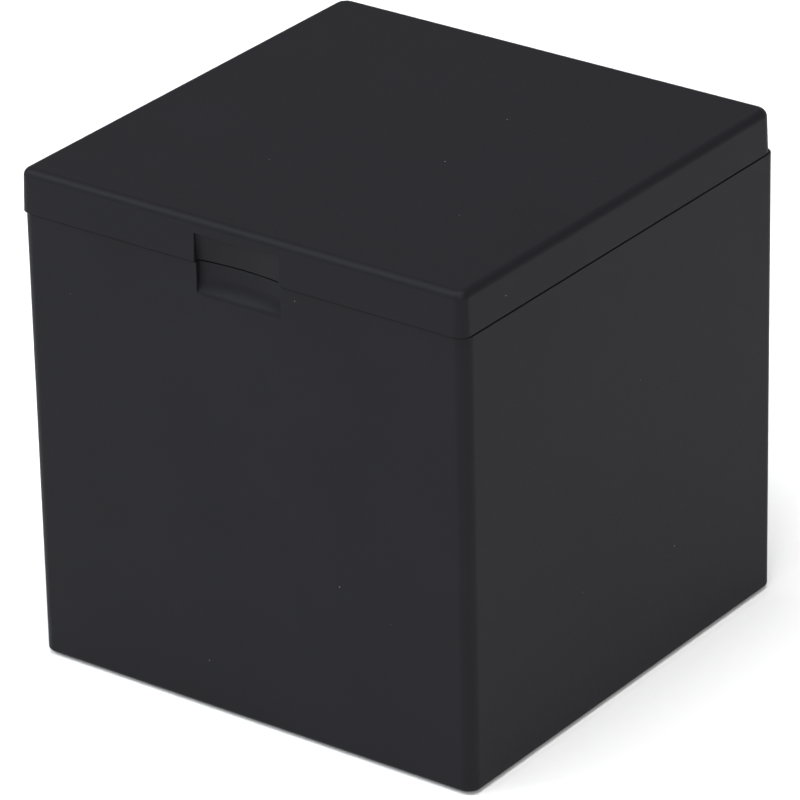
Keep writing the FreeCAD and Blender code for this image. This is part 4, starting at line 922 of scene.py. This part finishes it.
def moulded(name, colour, roughness, grain=0.12 * MM, depth=0.006 * MM, specular=0.3, specks=False):
    """Moulded plastic: a fine spark-eroded grain, faint cloudy variation and, if asked, dust specks."""
    material, tree, shader = new_material(name, colour, roughness, specular)
    place = object_place(tree)
    clouds = noise(tree, place, 60.0, 4.0)
    mottled = ramp_colours(tree, clouds, ((0.3, shade(colour, 0.93)), (0.7, shade(colour, 1.07))))
    if specks:
        mottled = add_specks(tree, place, mottled)
    tree.links.new(mottled, shader.inputs["Base Color"])
    fine = noise(tree, place, 0.5 / grain, 2.0, 0.6)
    gloss = remap(tree, fine, 0.3, 0.7, roughness - 0.04, roughness + 0.04)
    tree.links.new(gloss, shader.inputs["Roughness"])
    bump(tree, shader, fine, depth)
    return material


def add_specks(tree, place, colour):
    """A few specks of dust, each under a quarter of a millimetre."""
    cells = tree.nodes.new("ShaderNodeTexVoronoi")
    cells.inputs["Scale"].default_value = 150.0
    tree.links.new(place, cells.inputs["Vector"])
    speck = remap(tree, cells.outputs["Distance"], 0.016, 0.011, 0.0, 0.8)
    mix = tree.nodes.new("ShaderNodeMix")
    mix.data_type = "RGBA"
    mix.inputs["B"].default_value = (0.4, 0.41, 0.42, 1)
    tree.links.new(speck, mix.inputs["Factor"])
    tree.links.new(colour, mix.inputs["A"])
    return mix.outputs["Result"]


def brushed(name, colour, roughness):
    material, tree, shader = new_material(name, colour, roughness, 0.5, 1.0)
    place = object_place(tree)
    fine = noise(tree, place, 2500.0, 3.0)
    gloss = remap(tree, fine, 0.3, 0.7, roughness - 0.08, roughness + 0.1)
    tree.links.new(gloss, shader.inputs["Roughness"])
    bump(tree, shader, fine, 0.004 * MM, 0.6)
    return material


def napped(name, colour, fibre, sheen):
    """Fabric with a short pile: fibres, brushed patches and a sheen at grazing angles."""
    material, tree, shader = new_material(name, colour, 0.92, 0.2)
    place = object_place(tree)
    patches = noise(tree, place, 160.0, 4.0, 0.6)
    fibres = noise(tree, place, 0.5 / fibre, 4.0, 0.7)
    brushed_in = remap(tree, patches, 0.3, 0.7, 0.0, 0.3)
    total = tree.nodes.new("ShaderNodeMath")
    total.operation = "ADD"
    tree.links.new(brushed_in, total.inputs[0])
    tree.links.new(remap(tree, fibres, 0.3, 0.7, 0.0, 0.7), total.inputs[1])
    stops = ((0.1, shade(colour, 0.7)), (0.9, shade(colour, 1.4)))
    tree.links.new(ramp_colours(tree, total.outputs["Value"], stops), shader.inputs["Base Color"])
    bump(tree, shader, fibres, 0.07 * MM)
    shader.inputs["Sheen Weight"].default_value = sheen
    shader.inputs["Sheen Roughness"].default_value = 0.4
    return material


def make_materials():
    return {
        "case_plastic": moulded("case_plastic", (0.0064, 0.0062, 0.0084), 0.54, specular=0.115, specks=True),
        "inner_plastic": moulded("inner_plastic", (0.012, 0.012, 0.0135), 0.5),
        "base_plastic": moulded("base_plastic", (0.014, 0.014, 0.015), 0.62, grain=0.3 * MM, depth=0.02 * MM),
        "foot_rubber": moulded("foot_rubber", (0.01, 0.01, 0.011), 0.8, grain=0.25 * MM, depth=0.015 * MM),
        "screw_steel": brushed("screw_steel", (0.12, 0.12, 0.125), 0.38),
        "pin_steel": brushed("pin_steel", (0.55, 0.55, 0.56), 0.25),
        "spring_steel": brushed("spring_steel", (0.5, 0.5, 0.52), 0.3),
        "bobbin_nylon": moulded("bobbin_nylon", (0.6, 0.57, 0.48), 0.45),
        "winding_copper": brushed("winding_copper", (0.72, 0.28, 0.12), 0.28),
        "retainer_plastic": moulded("retainer_plastic", (0.03, 0.03, 0.032), 0.6, grain=0.4 * MM,
                                    depth=0.03 * MM),
        "board_laminate": moulded("board_laminate", (0.01, 0.11, 0.045), 0.3, grain=0.5 * MM,
                                  depth=0.01 * MM),
        "capacitor_sleeve": moulded("capacitor_sleeve", (0.015, 0.022, 0.08), 0.25, depth=0.002 * MM),
        "cell_sleeve": moulded("cell_sleeve", (0.03, 0.18, 0.36), 0.25, depth=0.002 * MM),
        "holder_plastic": moulded("holder_plastic", (0.015, 0.015, 0.015), 0.5),
        "sink_aluminium": brushed("sink_aluminium", (0.3, 0.3, 0.31), 0.35),
        "chip_epoxy": moulded("chip_epoxy", (0.016, 0.016, 0.017), 0.55, grain=0.2 * MM, depth=0.01 * MM),
        "core_ferrite": moulded("core_ferrite", (0.045, 0.045, 0.05), 0.6, grain=0.2 * MM, depth=0.012 * MM),
        "winding_tape": moulded("winding_tape", (0.7, 0.52, 0.07), 0.3, depth=0.003 * MM),
        "connector_nylon": moulded("connector_nylon", (0.75, 0.72, 0.64), 0.4),
        "socket_steel": brushed("socket_steel", (0.6, 0.6, 0.61), 0.28),
        "button_plastic": moulded("button_plastic", (0.02, 0.02, 0.022), 0.45),
        "light_acrylic": moulded("light_acrylic", (0.75, 0.82, 0.78), 0.3, depth=0.002 * MM),
        "led_epoxy": moulded("led_epoxy", (0.2, 0.6, 0.25), 0.2, depth=0.001 * MM),
        "lead_insulation": moulded("lead_insulation", (0.3, 0.012, 0.012), 0.35, depth=0.002 * MM),
        "cushion_fabric": napped("cushion_fabric", (0.035, 0.037, 0.044), 0.14 * MM, 0.35),
        "pad_foam": napped("pad_foam", (0.028, 0.029, 0.034), 0.1 * MM, 0.25),
    }


def finish_piece(piece, body, slot, *nodes):
    """Gives the piece the material of its slot, hangs it on its body and hides the CAD nodes that it stands for.
    """
    piece.data.materials.clear()
    piece.data.materials.append(materials[slot])
    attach(piece, body)
    if nodes:
        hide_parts(*nodes)


def dress_cad_nodes():
    """CAD nodes that stay: their own slot's material, and small rounded edges from modifiers."""
    for entry in frame["record"]["subparts"]:
        node = frame["nodes"][entry["node"]]
        node.data.materials.clear()
        node.data.materials.append(materials[entry["material_slot"]])
        if entry["node"] in EDGE_WIDTHS:
            round_cad_edges(node, EDGE_WIDTHS[entry["node"]])


def round_cad_edges(node, width):
    weld = node.modifiers.new("weld", "WELD")
    weld.merge_threshold = SLIVER
    flat = node.modifiers.new("flat_faces", "DECIMATE")
    flat.decimate_type = "DISSOLVE"
    flat.angle_limit = math.radians(0.5)
    bevel = node.modifiers.new("soft_edges", "BEVEL")
    bevel.width = width
    bevel.segments = 2
    bevel.limit_method = "ANGLE"
    bevel.angle_limit = math.radians(50)
    bevel.harden_normals = True
    tidy = node.modifiers.new("tidy", "WELD")
    tidy.merge_threshold = SLIVER / 4


# ---- room ----

def area_light(name, place, target, size, power, colour=(1, 1, 1)):
    data = bpy.data.lights.new(name, "AREA")
    data.shape = "RECTANGLE"
    data.size, data.size_y = size
    data.energy = power
    data.color = colour
    light = bpy.data.objects.new(name, data)
    bpy.context.scene.collection.objects.link(light)
    light.location = place
    light.rotation_euler = (Vector(target) - Vector(place)).to_track_quat("-Z", "Y").to_euler()
    return light


def make_room():
    """Plain pale floor, soft studio lights and a dim room round them."""
    corners = [(side_x * FLOOR_HALF, side_y * FLOOR_HALF, 0)
               for side_x, side_y in ((-1, -1), (1, -1), (1, 1), (-1, 1))]
    floor = add_object("floor", mesh_from("floor", corners, [(0, 1, 2, 3)]))
    floor.data.materials.append(new_material("floor_white", (0.9, 0.9, 0.9), 0.9, 0.1)[0])
    world = bpy.data.worlds.new("studio")
    world.use_nodes = True
    tree = world.node_tree
    height = tree.nodes.new("ShaderNodeSeparateXYZ")
    tree.links.new(tree.nodes.new("ShaderNodeTexCoord").outputs["Generated"], height.inputs["Vector"])
    stops = [(place, (level,) * 3) for place, level in HORIZON_GLOW]
    glow = ramp_colours(tree, height.outputs["Z"], stops)
    tree.links.new(glow, tree.nodes["Background"].inputs["Color"])
    bpy.context.scene.world = world
    target = (0, 0, 0.045)
    area_light("front_left_softbox", (-0.82, -0.68, 0.98), target, (0.7, 0.7), 12.5, (0.86, 0.93, 1.0))
    area_light("front_right_softbox", (0.8, -1.05, 0.75), target, (0.7, 0.7), 11)
    area_light("overhead_softbox", (0.1, -0.15, 1.4), target, (1.0, 1.0), 20)
    bpy.context.scene.view_settings.view_transform = "Standard"


set_camera()
materials = make_materials()
dress_cad_nodes()
make_case_shell()
make_lid_shell()
make_screws("deck_screws", "case", by_quarter, *CASE_SCREW, heads_up=True)
make_screws("base_screws", "case", by_quarter, *CASE_SCREW, heads_up=False)
make_screws("board_screws", "case", by_quarter, *INNER_SCREW, heads_up=True)
make_screws("retainer_screws", "case", by_third, *INNER_SCREW, heads_up=False)
make_screws("liner_screws", "lid", by_quarter, *LINER_SCREW, heads_up=False)
make_winding()
make_start_button()
make_light_pipe()
make_charging_inlet()
make_bay_cushion()
make_lid_pad()
make_room()
